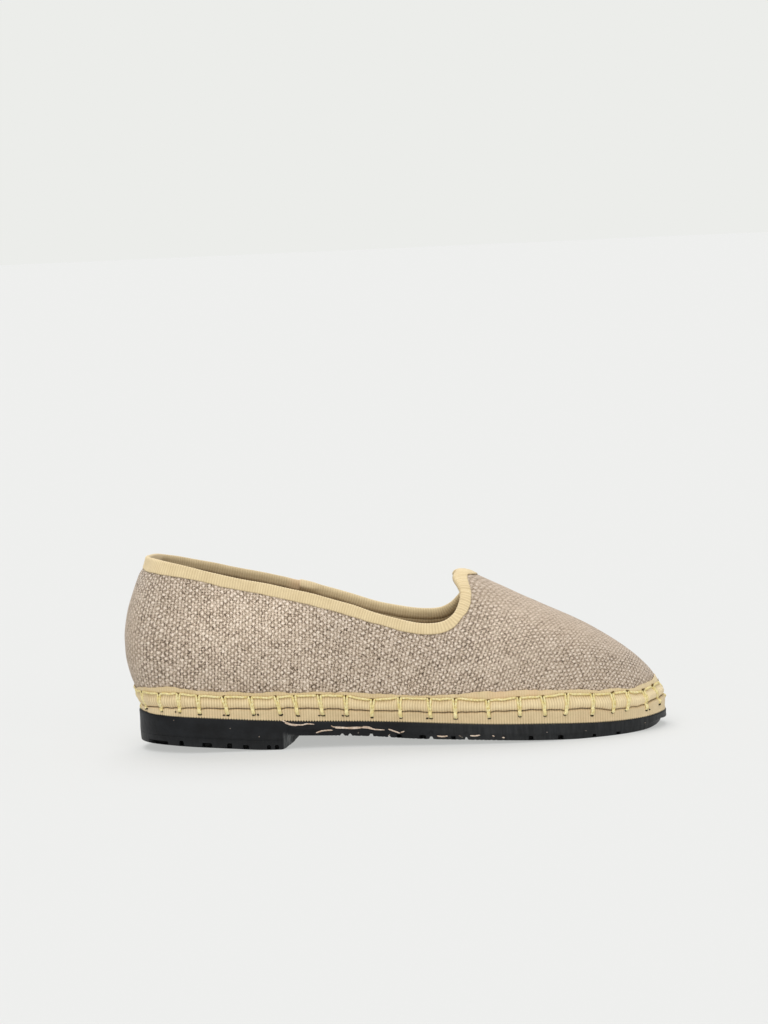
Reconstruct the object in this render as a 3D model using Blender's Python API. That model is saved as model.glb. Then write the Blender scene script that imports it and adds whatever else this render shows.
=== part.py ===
"""Slipper flat for a right foot: linen upper with a notched throat, bound collar,
wrapped midsole with a rolled band above it, and a moulded rubber outsole with a low heel.

Frame: +X to the toe, +Y to the inner (medial) side, +Z up, origin on the floor under
the middle of the shoe.  Sizes and tables are in millimetres.
"""

from collections import namedtuple
import math

import bmesh
import bpy
from mathutils import Vector

MM = 0.001

# ---- driving sizes -------------------------------------------------------------------
SOLE_BACK = -122.0        # back edge of the outsole
SOLE_TIP = 128.0          # toe edge of the outsole
HEEL_ROUND = 33.0         # length of the outline's rounded back
TOE_ROUND = 82.0          # length of its rounded front
END_POWER = 2.1           # superellipse power of both
HEEL_AXIS = -92.0         # the heel's ribs fan out from here
TOE_AXIS = 85.0           # and the toe's from here
FAN_BLEND = 14.0          # straight ribs turn into a fan over this length
WALL = 1.8                # linen, interlining and lining together
GAP = 0.3                 # between pieces that meet
BULGE_REACH = 69.0        # height over which the wall swells
BULGE_SKEW = 0.88         # under 1 the widest point sits lower
RIBBON_INSET = 0.4        # the midsole's ribbon lies behind the outsole's edge
ROLL_PROUD = 0.3          # the rolled band stands beyond it
ROLL_GAP = 0.45           # between it and the upper, whose facets use a part of this
STRIP_THICK = 0.8         # thin upper edge of the rolled band
ROLL_LEAN = 1.6           # power by which the band leans in to the linen
BIND_EDGE = 1.3           # finished edge of the collar beyond the linen's cut edge
BIND_THICK = 0.9
BIND_GAP = 0.45           # the facets at the throat's corners use a part of this
BIND_WIDTH = 5.6
INSOLE_THICK = 3.0
INSOLE_GAP = 0.45         # the upper's facets use a part of this
BREAST_FOOT = -52.5       # front of the heel block on the floor
BREAST_TOP = -45.5        # and under the shank
BREAST_CORNER = 6.0       # corner taken off each side of the breast
TREAD_DEPTH = 1.3

# ---- counts of stations ---------------------------------------------------------------
REAR_RIBS = 40            # ribs on each side from the throat's peak to the heel's back
THROAT_CLOSER = 1.9       # how much closer they stand round the throat
VAMP_RIBS = 14            # ribs on each side from the peak to the toe
WALL_ROWS = 11            # steps of a rib from the foot to the rim
PEAK_FOOT_AHEAD = 0.03    # the peak's rib stands this far ahead of the peak, in turns of q
BAND_STATIONS = 42        # stations on each side of the rolled band
PLATE_STATIONS = 40       # stations of midsole, insole and outsole

# ---- section tables ---------------------------------------------------------------------
# Heights over the floor along the shoe; edge is the chamfer round the outsole's bottom.
Side = namedtuple("Side", "x bottom top seam band edge")
SIDE_LINES = [
    Side(-123.0, 3.2, 17.0, 20.9, 29.0, 0.8),
    Side(-108.0, 3.0, 16.9, 21.3, 29.8, 0.6),
    Side(-92.0, 2.1, 16.2, 20.9, 29.3, 0.6),
    Side(-76.0, 0.8, 14.9, 20.0, 28.0, 0.6),
    Side(-64.0, 0.0, 14.1, 19.6, 27.3, 0.6),
    Side(-45.0, 0.0, 13.0, 18.9, 26.5, 0.6),
    Side(-24.0, 0.0, 12.0, 17.5, 25.7, 0.6),
    Side(2.0, 0.0, 10.9, 16.0, 23.7, 0.6),
    Side(18.0, 0.0, 10.2, 15.2, 23.2, 0.6),
    Side(42.0, 0.0, 8.9, 14.9, 24.2, 0.6),
    Side(66.0, 0.0, 8.1, 14.6, 23.9, 0.6),
    Side(98.0, 0.0, 7.0, 13.2, 22.0, 0.7),
    Side(116.0, 0.5, 6.5, 12.9, 21.4, 1.2),
    Side(128.0, 2.2, 6.7, 13.8, 22.4, 2.0),
]
# Underside of the shank, from the heel block to the tread under the ball of the foot.
Shank = namedtuple("Shank", "x z")
SHANK = [
    Shank(-45.5, 5.8),
    Shank(-30.0, 5.2),
    Shank(-12.0, 4.2),
    Shank(6.0, 2.8),
    Shank(26.0, 1.9),
    Shank(46.0, 1.2),
    Shank(64.0, 0.0),
]
# Half widths of the outline about its centre line, before the ends are rounded;
# inset is the upper's foot behind the outline.
Plan = namedtuple("Plan", "x lateral medial centre inset")
PLAN = [
    Plan(-122.0, 30.0, 30.0, -1.1, 2.6),
    Plan(-85.0, 30.4, 29.6, -1.1, 2.8),
    Plan(-50.0, 30.2, 28.4, -1.1, 3.0),
    Plan(-15.0, 32.0, 28.4, -1.0, 3.2),
    Plan(20.0, 38.0, 33.4, -0.8, 3.3),
    Plan(52.0, 42.0, 40.8, 0.0, 3.4),
    Plan(80.0, 43.0, 43.0, 1.2, 3.4),
    Plan(128.0, 42.0, 42.0, 2.9, 3.2),
]
# The last: crown over the ribs, full swells their shoulders, bulge swells the wall.
Last = namedtuple("Last", "x crown full bulge")
LAST = [
    Last(-119.4, 155.0, 0.00, 8.8),
    Last(-110.0, 155.0, 0.00, 6.8),
    Last(-92.0, 152.0, 0.05, 3.4),
    Last(-60.0, 138.0, 0.08, 2.2),
    Last(-20.0, 114.0, 0.12, 1.6),
    Last(8.0, 89.0, 0.14, 1.2),
    Last(20.0, 80.6, 0.10, 1.0),
    Last(28.0, 76.9, 0.04, 0.9),
    Last(33.0, 77.7, 0.02, 0.8),
    Last(37.0, 77.0, 0.03, 0.8),
    Last(42.0, 74.6, 0.05, 0.7),
    Last(60.0, 65.4, 0.12, 0.5),
    Last(80.0, 55.0, 0.20, 0.3),
    Last(100.0, 44.8, 0.34, 0.1),
    Last(124.0, 32.6, 0.43, 0.0),
]
# Finished edge of the collar: place of the rib and height, from the throat's peak,
# where it lies on the crown, round the instep to the back of the heel.
Collar = namedtuple("Collar", "x z")
COLLAR = [
    Collar(29.2, 77.6),
    Collar(30.6, 73.9),
    Collar(31.8, 70.2),
    Collar(31.9, 66.3),
    Collar(30.5, 62.2),
    Collar(27.2, 58.7),
    Collar(22.2, 56.9),
    Collar(15.5, 56.7),
    Collar(4.0, 58.8),
    Collar(-10.6, 63.4),
    Collar(-29.0, 70.0),
    Collar(-52.0, 76.4),
    Collar(-76.0, 82.2),
    Collar(-92.0, 86.7),
    Collar(-104.0, 89.3),
    Collar(-114.0, 91.0),
    Collar(-119.4, 91.6),
]
# Cross grooves of the tread, between its lugs.
Groove = namedtuple("Groove", "x width")
GROOVES = [
    Groove(-113.0, 4.0),
    Groove(-100.0, 2.0),
    Groove(-88.5, 3.5),
    Groove(-77.0, 2.0),
    Groove(-68.0, 2.0),
    Groove(58.0, 2.4),
    Groove(70.0, 2.4),
    Groove(82.0, 2.4),
    Groove(94.0, 2.4),
    Groove(106.0, 2.4),
]
# Folded section of the binding: reach over the collar's edge, height off the linen.
Fold = namedtuple("Fold", "reach off")
BINDING_FOLD = [
    Fold(-BIND_WIDTH, BIND_GAP),
    Fold(-BIND_WIDTH, BIND_GAP + 0.7 * BIND_THICK),
    Fold(-BIND_WIDTH + 0.6, BIND_GAP + BIND_THICK),
    Fold(-1.4, BIND_GAP + BIND_THICK),
    Fold(-0.4, 0.35 * BIND_THICK),
    Fold(0.0, -0.5 * WALL),
    Fold(-0.4, -WALL - 0.35 * BIND_THICK),
    Fold(-1.4, -WALL - BIND_GAP - BIND_THICK),
    Fold(-BIND_WIDTH, -WALL - BIND_GAP - BIND_THICK),
    Fold(-BIND_WIDTH, -WALL - BIND_GAP),
    Fold(-3.4, -WALL - BIND_GAP),
    Fold(GAP - BIND_EDGE, -WALL - BIND_GAP),
    Fold(GAP - BIND_EDGE, BIND_GAP),
    Fold(-3.4, BIND_GAP),
]


# ---- numbers ------------------------------------------------------------------------------
def hermite(start, end, rise_in, rise_out, t):
    """A cubic between two values with given rises at its ends."""
    blend = t * t * (3.0 - 2.0 * t)
    return (lerp(start, end, blend)
            + rise_in * t * (1.0 - t) ** 2
            + rise_out * t * t * (t - 1.0))


def lerp(a, b, t):
    """Straight blend of two numbers or vectors."""
    return a + (b - a) * t


def along(rows, column, x):
    """A column of a table read at x, smooth from row to row."""
    x = min(max(x, rows[0].x), rows[-1].x)
    i = next(k for k in range(len(rows) - 1) if x <= rows[k + 1].x)
    before, low = rows[max(i - 1, 0)], rows[i]
    high, after = rows[i + 1], rows[min(i + 2, len(rows) - 1)]
    span = high.x - low.x
    rise_in = (getattr(high, column) - getattr(before, column)) / (high.x - before.x) * span
    rise_out = (getattr(after, column) - getattr(low, column)) / (after.x - low.x) * span
    return hermite(getattr(low, column), getattr(high, column), rise_in, rise_out,
                   (x - low.x) / span)


def rounded(t):
    """Quarter superellipse: 1 at t = 0 and 0 at t = 1."""
    t = min(max(t, 0.0), 1.0)
    return (1.0 - t ** END_POWER) ** (1.0 / END_POWER)


def bisect(function, low, high, target):
    """Where a rising function reaches target."""
    for _ in range(40):
        middle = 0.5 * (low + high)
        if function(middle) < target:
            low = middle
        else:
            high = middle
    return 0.5 * (low + high)


# ---- the outline in plan --------------------------------------------------------------------
def outline(q):
    """A point of the outsole's edge.  q runs round it: 0 at the heel's back, to 1 at the
    toe along the lateral side, and on to 2 (or from -1) along the medial side."""
    x = lerp(SOLE_BACK, SOLE_TIP, 0.5 * (1.0 - math.cos(math.pi * q)))
    heel = rounded((SOLE_BACK + HEEL_ROUND - x) / HEEL_ROUND)
    toe = rounded((x - SOLE_TIP + TOE_ROUND) / TOE_ROUND)
    turn = math.sin(math.pi * q)
    half = along(PLAN, "lateral" if turn > 0.0 else "medial", x) * heel * toe
    return x, along(PLAN, "centre", x) - math.copysign(half, turn)


def outline_offset(q, out):
    """The outline moved out square to its edge."""
    step = 0.002
    behind, ahead = outline(q - step), outline(q + step)
    tx, ty = ahead[0] - behind[0], ahead[1] - behind[1]
    size = math.hypot(tx, ty)
    x, y = outline(q)
    return x + ty / size * out, y - tx / size * out


def station_at(x):
    """The q, from 0 to 1, at which the outline passes x."""
    way = (x - SOLE_BACK) / (SOLE_TIP - SOLE_BACK)
    return math.acos(min(max(1.0 - 2.0 * way, -1.0), 1.0)) / math.pi


# ---- the last, which is the upper's own surface -------------------------------------------------
def foot(q, out=0.0):
    """Where the upper's outer face stands on the midsole, in plan."""
    return outline_offset(q, out - along(PLAN, "inset", outline(q)[0]))


def foot_height(q):
    """Height at which the upper stands on the midsole."""
    return along(SIDE_LINES, "seam", foot(q)[0]) + GAP


def rib_axis(x):
    """Ribs cross the shoe square, and fan out about one point at heel and toe."""
    for axis, side in ((HEEL_AXIS, 1.0), (TOE_AXIS, -1.0)):
        past = (x - axis) * side
        if past < FAN_BLEND:
            ease = max(past + FAN_BLEND, 0.0)
            return axis + side * ease * ease / (4.0 * FAN_BLEND)
    return x


def last_point(q, angle, out=0.0):
    """A point of the upper's outer face.  angle runs from 0 at the foot to half pi at the
    crown and past it down the other side; out moves the point off the face."""
    if angle > 0.5 * math.pi:
        q, angle = -q, math.pi - angle
    fx, fy = foot(q, out)
    ax = rib_axis(outline(q)[0])
    ay = along(PLAN, "centre", ax)
    sine, cosine = math.sin(angle), math.cos(angle)
    share = cosine * (1.0 + along(LAST, "full", fx) * sine * sine)
    base = foot_height(q)
    reach = math.hypot(fx - ax, fy - ay)
    height = (along(LAST, "crown", ax + (fx - ax) * share) + out - base) * sine
    swell = math.sin(math.pi * (height / BULGE_REACH) ** BULGE_SKEW)
    share += along(LAST, "bulge", fx) * swell * min(1.0, 3.0 * cosine) / reach
    return Vector((ax + (fx - ax) * share, ay + (fy - ay) * share, base + height))


def angle_at(q, z, out=0.0):
    """The angle at which a rib reaches height z."""
    return bisect(lambda angle: last_point(q, angle, out).z, 0.0, 0.5 * math.pi, z)


def slopes(q, angle):
    """How the face runs along q and along angle, and its outward normal."""
    step = 0.002
    by_q = (last_point(q + step, angle) - last_point(q - step, angle)) / (2.0 * step)
    by_angle = (last_point(q, angle + step) - last_point(q, angle - step)) / (2.0 * step)
    normal = by_q.cross(by_angle).normalized()
    return by_q, by_angle, normal


def rim_line(count):
    """The collar's finished edge as (q, angle) pairs, evenly spaced from the throat's
    peak along the lateral side to the back of the heel."""
    knots = []
    for row in COLLAR:
        q = bisect(lambda value: foot(value)[0], 0.0, 1.0, row.x)
        knots.append((q, angle_at(q, row.z)))
    knots[0] = (knots[0][0], 0.5 * math.pi)
    knots[-1] = (0.0, knots[-1][1])
    mirror = [(knots[1][0], math.pi - knots[1][1])] + knots + [(-knots[-2][0], knots[-2][1])]
    fine = []
    for i in range(1, len(mirror) - 2):
        for k in range(12):
            t = k / 12.0
            fine.append([hermite(mirror[i][n], mirror[i + 1][n],
                                 0.5 * (mirror[i + 1][n] - mirror[i - 1][n]),
                                 0.5 * (mirror[i + 2][n] - mirror[i][n]), t) for n in (0, 1)])
    fine.append(list(knots[-1]))
    return spread(fine, [last_point(q, angle) for q, angle in fine], count)


def spread(values, points, count):
    """Values at count steps of the way along their points, closer at the throat."""
    way = [0.0]
    for before, after in zip(points, points[1:]):
        closer = 1.0 + (THROAT_CLOSER - 1.0) * min(max((after.x - 5.0) / 20.0, 0.0), 1.0)
        way.append(way[-1] + (after - before).length * closer)
    result = []
    i = 0
    for k in range(count + 1):
        goal = way[-1] * k / count
        while i < len(way) - 2 and way[i + 1] < goal:
            i += 1
        t = (goal - way[i]) / (way[i + 1] - way[i])
        result.append([lerp(a, b, min(t, 1.0)) for a, b in zip(values[i], values[i + 1])])
    return result


def rim_frames(count):
    """Stations all round the collar: (q, angle) of the edge, and the change of both for
    each millimetre towards the opening.  The first is the throat's peak."""
    side = rim_line(count)
    loop = side + [[-q, angle] for q, angle in reversed(side[1:-1])]
    frames = []
    for i, (q, angle) in enumerate(loop):
        before, after = loop[i - 1], loop[(i + 1) % len(loop)]
        run = last_point(*after) - last_point(*before)
        by_q, by_angle, normal = slopes(q, angle)
        open_way = run.cross(normal).normalized()
        qq, qa, aa = by_q.dot(by_q), by_q.dot(by_angle), by_angle.dot(by_angle)
        along_q, along_a = by_q.dot(open_way), by_angle.dot(open_way)
        scale = qq * aa - qa * qa
        frames.append((q, angle, (along_q * aa - along_a * qa) / scale,
                       (along_a * qq - along_q * qa) / scale))
    return frames


def rim_point(frame, reach, out):
    """A point by a station of the collar: reach towards the opening, out off the linen."""
    q, angle, by_q, by_angle = frame
    return last_point(q + by_q * reach, angle + by_angle * reach, out)


# ---- meshes ------------------------------------------------------------------------------------
def material(name, colour, roughness):
    """A plain Principled material."""
    made = bpy.data.materials.new(name)
    made.use_nodes = True
    shader = made.node_tree.nodes["Principled BSDF"]
    shader.inputs["Base Color"].default_value = (*colour, 1.0)
    shader.inputs["Roughness"].default_value = roughness
    shader.inputs["Metallic"].default_value = 0.0
    made.diffuse_color = (*colour, 1.0)
    return made


def solid(name, grid_points, faces, finish):
    """One closed object from points in millimetres and faces that index them."""
    mesh = bpy.data.meshes.new(name)
    mesh.from_pydata([tuple(value * MM for value in point) for point in grid_points], [], faces)
    work = bmesh.new()
    work.from_mesh(mesh)
    bmesh.ops.remove_doubles(work, verts=work.verts, dist=0.00001)
    bmesh.ops.triangulate(work, faces=work.faces)
    bmesh.ops.dissolve_degenerate(work, edges=work.edges, dist=0.000005)
    bmesh.ops.recalc_face_normals(work, faces=work.faces)
    work.to_mesh(mesh)
    work.free()
    mesh.shade_smooth()
    mesh.set_sharp_from_angle(angle=math.radians(40.0))
    made = bpy.data.objects.new(name, mesh)
    bpy.context.scene.collection.objects.link(made)
    made.data.materials.append(finish)
    return made


def ring_faces(rows, size):
    """Faces of rows of points that close both round the shoe and round the section."""
    faces = []
    for i in range(rows):
        for k in range(size):
            a, b = i * size + k, i * size + (k + 1) % size
            c, d = ((i + 1) % rows) * size + (k + 1) % size, ((i + 1) % rows) * size + k
            faces.append((a, b, c, d))
    return faces


def side_stations(count, extra=()):
    """Values of q from the heel's back to the toe, with some extra places along x."""
    values = [i / count for i in range(count + 1)]
    for x in extra:
        q = station_at(x)
        nearest = min(range(1, count), key=lambda k: abs(values[k] - q))
        values[nearest] = q
    return sorted(values)


def plate(name, stations, rows, finish):
    """A flat piece: rows(q) gives its edge from top to bottom, and its top and bottom are
    strips from the lateral to the medial edge."""
    loop = stations + [-q for q in reversed(stations[1:-1])]
    edge = [rows(q) for q in loop]
    depth = len(edge[0])
    points = [point for row in edge for point in row]
    faces = []
    for i in range(len(loop)):
        j = (i + 1) % len(loop)
        for k in range(depth - 1):
            faces.append((i * depth + k, i * depth + k + 1, j * depth + k + 1, j * depth + k))
    last = len(stations) - 1
    for level in (0, depth - 1):
        for i in range(last):
            lateral = [i, i + 1]
            medial = [(len(loop) - j) % len(loop) for j in (i + 1, i)]
            corners = []
            for corner in lateral + medial:
                if corner * depth + level not in corners:
                    corners.append(corner * depth + level)
            faces.append(tuple(corners))
    return solid(name, points, faces, finish)


# ---- the pieces -----------------------------------------------------------------------------------
def sole_bottom(x):
    """Underside of the outsole: heel block, sloping breast, shank and tread."""
    if x <= BREAST_FOOT or x >= SHANK[-1].x:
        return max(along(SIDE_LINES, "bottom", x), 0.0)
    if x < BREAST_TOP:
        return lerp(0.0, SHANK[0].z, (x - BREAST_FOOT) / (BREAST_TOP - BREAST_FOOT))
    return along(SHANK, "z", x)


def make_outsole(finish):
    """The moulded rubber sole with its heel block, chamfered round the bottom."""
    def edge(q):
        x, y = outline_offset(q, 0.0)
        chamfer = along(SIDE_LINES, "edge", x)
        bx, by = outline_offset(q, -chamfer)
        return [(x, y, along(SIDE_LINES, "top", x)),
                (x, y, sole_bottom(x) + chamfer),
                (bx, by, sole_bottom(bx))]

    places = (BREAST_FOOT, BREAST_TOP, -64.0, -46.5, 64.0, 98.0)
    sole = plate("outsole", side_stations(PLATE_STATIONS + 8, places), edge, finish)
    cutters = [groove_cutter(groove) for groove in GROOVES]
    cutters += [corner_cutter(side) for side in (-1.0, 1.0)]
    for cutter in cutters:
        cut = sole.modifiers.new(cutter.name, "BOOLEAN")
        cut.operation = "DIFFERENCE"
        cut.object = cutter
        cutter.hide_render = True
        cutter.display_type = "WIRE"
    return sole


def groove_cutter(groove):
    """A bar across the tread at one groove."""
    low, high = groove.x - 0.5 * groove.width, groove.x + 0.5 * groove.width
    top = sole_bottom(groove.x) + TREAD_DEPTH
    return prism("groove_%+.0f" % groove.x, [(low, -60.0), (high, -60.0), (high, 60.0),
                                             (low, 60.0)], -3.0, top)


def corner_cutter(side):
    """A wedge that takes the corner off the breast of the heel block."""
    edge_y = along(PLAN, "centre", BREAST_FOOT) + side * 32.0
    back, front = BREAST_FOOT - BREAST_CORNER, BREAST_TOP + 3.0
    return prism("breast_corner_%+.0f" % side,
                 [(back, edge_y), (front, edge_y), (front, edge_y - side * 15.0)],
                 -3.0, SHANK[0].z)


def prism(name, corners, low, high):
    """An upright prism on a flat outline, used as a cutter."""
    mesh = bpy.data.meshes.new(name)
    work = bmesh.new()
    base = work.faces.new([work.verts.new((x * MM, y * MM, low * MM)) for x, y in corners])
    raised = bmesh.ops.extrude_face_region(work, geom=[base])
    lifted = [item for item in raised["geom"] if isinstance(item, bmesh.types.BMVert)]
    bmesh.ops.translate(work, verts=lifted, vec=(0.0, 0.0, (high - low) * MM))
    bmesh.ops.recalc_face_normals(work, faces=work.faces)
    work.to_mesh(mesh)
    work.free()
    made = bpy.data.objects.new(name, mesh)
    bpy.context.scene.collection.objects.link(made)
    return made


def make_midsole(finish):
    """The filler wrapped in ribbon between the outsole and the upper."""
    def edge(q):
        x, y = outline_offset(q, -RIBBON_INSET)
        low, high = along(SIDE_LINES, "top", x) + GAP, along(SIDE_LINES, "seam", x)
        inner_x, inner_y = outline_offset(q, -RIBBON_INSET - 0.7)
        return [(inner_x, inner_y, high), (x, y, high - 0.7), (x, y, low)]

    return plate("midsole", side_stations(PLATE_STATIONS), edge, finish)


def make_insole(finish):
    """The sock that lines the bottom of the upper."""
    def edge(q):
        x, y = foot(q, -WALL - INSOLE_GAP)
        low = foot_height(q)
        return [(x, y, low + INSOLE_THICK), (x, y, low)]

    return plate("insole", side_stations(PLATE_STATIONS), edge, finish)


def make_roll(finish):
    """The ribbon rolled over the upper's foot, thin at its upper edge."""
    stations = [i / BAND_STATIONS for i in range(2 * BAND_STATIONS)]
    points = []
    for q in stations:
        low, high = foot_height(q), along(SIDE_LINES, "band", foot(q)[0])
        inner = [last_point(q, angle_at(q, lerp(low, high, t), ROLL_GAP), ROLL_GAP)
                 for t in (1.0, 0.5, 0.0)]
        strip = ROLL_GAP + STRIP_THICK
        top = last_point(q, angle_at(q, high, strip), strip)
        wide = outline_offset(q, ROLL_PROUD)
        low = along(SIDE_LINES, "seam", outline(q)[0]) + GAP
        outer = [Vector((*outline_offset(q, -1.0), low)),
                 Vector((*outline_offset(q, 0.0), low + 0.9))]
        for t in (0.3, 0.55, 0.8, 1.0):
            lean = t ** ROLL_LEAN
            outer.append(Vector((lerp(wide[0], top.x, lean), lerp(wide[1], top.y, lean),
                                 lerp(low, high, t))))
        points += inner + outer
    return solid("rolled_band", points, ring_faces(len(stations), 9), finish)


def make_upper(finish):
    """The linen upper: one wall, open at the collar and underneath."""
    rim = rim_frames(REAR_RIBS)[:REAR_RIBS + 1]
    hem = [(q - by_q * BIND_WIDTH, angle - by_angle * BIND_WIDTH)
           for q, angle, by_q, by_angle in rim]
    cut = [(q - by_q * BIND_EDGE, angle - by_angle * BIND_EDGE)
           for q, angle, by_q, by_angle in rim]
    for edge in (hem, cut):
        edge[0] = (edge[0][0], 0.5 * math.pi)
        edge[-1] = (0.0, edge[-1][1])
    peak_foot = hem[0][0] + PEAK_FOOT_AHEAD
    line = [peak_foot * (1.0 - i / 80.0) for i in range(81)]
    feet = spread([[q] for q in line], [Vector((*foot(q), 0.0)) for q in line], REAR_RIBS)
    ribs = []
    for i in range(VAMP_RIBS):
        q = lerp(1.0, peak_foot, i / VAMP_RIBS)
        crown = (lerp(1.0, hem[0][0], i / VAMP_RIBS), 0.5 * math.pi)
        ribs.append((q, crown, crown))
    ribs += [(feet[i][0], hem[i], cut[i]) for i in range(REAR_RIBS + 1)]
    ribs += [(-low, (-hem_q, hem_angle), (-cut_q, cut_angle))
             for low, (hem_q, hem_angle), (cut_q, cut_angle) in reversed(ribs[1:-1])]
    rows = WALL_ROWS + 1
    points = []
    for out in (0.0, -WALL):
        for low, (hem_q, hem_angle), (cut_q, cut_angle) in ribs:
            for k in range(WALL_ROWS):
                t = k / (WALL_ROWS - 1)
                points.append(last_point(lerp(low, hem_q, t * t), hem_angle * t, out))
            points.append(last_point(cut_q, cut_angle, out))
    total = len(ribs)
    half = total * rows
    faces = []
    for i in range(total):
        j = (i + 1) % total
        reaches_rim = VAMP_RIBS <= i < total - VAMP_RIBS
        for k in range(WALL_ROWS if reaches_rim else WALL_ROWS - 1):
            a, b, c, d = i * rows + k, j * rows + k, j * rows + k + 1, i * rows + k + 1
            faces.append((a, b, c, d))
            faces.append((half + d, half + c, half + b, half + a))
        faces.append((i * rows, half + i * rows, half + j * rows, j * rows))
        if reaches_rim:
            top_i, top_j = i * rows + WALL_ROWS, j * rows + WALL_ROWS
            faces.append((top_i, top_j, half + top_j, half + top_i))
    return solid("upper", points, faces, finish)


def make_binding(finish):
    """The ribbon folded over the collar's edge, a channel that keeps clear of it."""
    frames = rim_frames(REAR_RIBS)
    points = [rim_point(frame, fold.reach, fold.off) for frame in frames for fold in BINDING_FOLD]
    return solid("collar_binding", points, ring_faces(len(frames), len(BINDING_FOLD)), finish)


def build():
    """Clear the scene and make every piece."""
    for old in list(bpy.data.objects):
        bpy.data.objects.remove(old)
    rubber = material("black_rubber", (0.018, 0.019, 0.021), 0.55)
    ribbon = material("grosgrain_ribbon", (0.68, 0.54, 0.30), 0.75)
    linen = material("slub_linen", (0.48, 0.39, 0.30), 0.9)
    sock = material("cotton_sock", (0.52, 0.42, 0.30), 0.85)
    make_outsole(rubber)
    make_midsole(ribbon)
    make_roll(ribbon)
    make_upper(linen)
    make_binding(ribbon)
    make_insole(sock)


build()
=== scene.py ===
# Looks of a slipper flat: linen upper, ribbon binding and band, blanket stitch, rubber sole.
import math

import bmesh
import bpy
import numpy as np
from mathutils import Matrix, Vector


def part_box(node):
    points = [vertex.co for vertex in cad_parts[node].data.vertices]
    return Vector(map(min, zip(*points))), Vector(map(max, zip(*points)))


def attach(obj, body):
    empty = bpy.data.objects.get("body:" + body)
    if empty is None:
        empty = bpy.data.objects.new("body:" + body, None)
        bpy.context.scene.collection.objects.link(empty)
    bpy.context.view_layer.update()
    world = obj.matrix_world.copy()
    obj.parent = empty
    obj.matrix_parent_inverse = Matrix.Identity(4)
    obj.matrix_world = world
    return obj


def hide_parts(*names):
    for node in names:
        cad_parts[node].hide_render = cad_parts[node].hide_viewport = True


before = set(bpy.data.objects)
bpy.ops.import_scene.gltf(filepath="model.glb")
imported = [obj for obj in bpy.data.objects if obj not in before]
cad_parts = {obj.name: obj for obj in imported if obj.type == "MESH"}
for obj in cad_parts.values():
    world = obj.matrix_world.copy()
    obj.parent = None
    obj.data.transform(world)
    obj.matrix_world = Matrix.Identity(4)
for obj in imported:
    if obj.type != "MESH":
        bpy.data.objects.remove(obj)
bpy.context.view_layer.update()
body = "root"
mm = 0.001
dice = np.random.default_rng(7)


# numbers and tables, in millimetres, as in the part's own source
def readRows(names, rows):
    return dict(zip(names.split(), np.array(rows, float).T))


def lerp(a, b, t):
    return a + (b - a) * t


def smooth(low, high, x):
    t = np.clip((x - low) / (high - low), 0.0, 1.0)
    return t * t * (3.0 - 2.0 * t)


def hump(x, middle, width):
    return np.exp(-((x - middle) / width) ** 2)


def hermite(start, end, riseIn, riseOut, t):
    return (lerp(start, end, t * t * (3.0 - 2.0 * t))
            + riseIn * t * (1.0 - t) ** 2 + riseOut * t * t * (t - 1.0))


def along(table, column, x):
    # a column read at x, smooth from row to row
    xs, ys = table["x"], table[column]
    x = np.clip(x, xs[0], xs[-1])
    i = np.clip(np.searchsorted(xs, x) - 1, 0, len(xs) - 2)
    before, after = np.maximum(i - 1, 0), np.minimum(i + 2, len(xs) - 1)
    span = xs[i + 1] - xs[i]
    riseIn = (ys[i + 1] - ys[before]) / (xs[i + 1] - xs[before]) * span
    riseOut = (ys[after] - ys[i]) / (xs[after] - xs[i]) * span
    return hermite(ys[i], ys[i + 1], riseIn, riseOut, (x - xs[i]) / span)


def bisect(function, low, high, target):
    target = np.asarray(target, float)
    low, high = np.full_like(target, low), np.full_like(target, high)
    for _ in range(32):
        middle = 0.5 * (low + high)
        under = function(middle) < target
        low, high = np.where(under, middle, low), np.where(under, high, middle)
    return 0.5 * (low + high)


def ripple(points, size, seed):
    # smooth unevenness between about -1 and 1, with features of that size
    draw = np.random.default_rng(seed)
    total = 0.0
    for _ in range(7):
        way = draw.normal(size=3)
        way /= np.linalg.norm(way)
        turn = math.tau / (size * draw.uniform(0.7, 1.5))
        total = total + np.sin(points @ way * turn + draw.uniform(0.0, 6.28))
    return total / 3.5


def unit(vectors):
    return vectors / np.maximum(np.linalg.norm(vectors, axis=-1, keepdims=True), 1e-9)


def stack(x, y, z):
    # points from their three parts
    return np.stack(np.broadcast_arrays(x, y, z), -1)


def planLengths(x, y):
    # length along a row of points in plan, from 0
    return np.concatenate([[0.0], np.cumsum(np.hypot(np.diff(x), np.diff(y)))])


# the shoe's own shape
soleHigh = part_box("outsole")[1]
shape = {
    "soleBack": -122.0, "soleTip": soleHigh.x / mm, "heelRound": 33.0, "toeRound": 82.0,
    "endPower": 2.1, "heelAxis": -92.0, "toeAxis": 85.0, "fanBlend": 14.0,
    "bulgeReach": 69.0, "bulgeSkew": 0.88, "footLift": 0.3,
}
crownAngle = 0.5 * math.pi
sideLines = readRows("x bottom top seam band", [
    (-123, 4.3, 19.0, 20.9, 29.4), (-108, 3.9, 18.0, 21.3, 31.6), (-92, 2.8, 16.9, 20.9, 29.5),
    (-76, 1.4, 15.5, 20.0, 28.0), (-64, 0.4, 14.5, 19.6, 27.3), (-45, 0.0, 13.3, 18.9, 26.5),
    (-24, 0.0, 12.5, 17.5, 25.7), (2, 0.0, 11.5, 16.0, 23.7), (18, 0.0, 10.7, 15.2, 23.2),
    (42, 0.0, 9.5, 14.9, 24.2), (66, 0.0, 8.6, 14.6, 23.9), (98, 0.0, 6.95, 13.2, 21.6),
    (116, 0.5, 6.8, 12.9, 20.9), (128, 2.2, 7.6, 13.8, 23.4)])
shank = readRows("x z", [(-45.5, 6.3), (-30, 5.7), (-12, 4.8), (6, 3.4), (26, 2.5), (46, 1.6),
                         (66, 0.7), (84, 0.0)])
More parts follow.
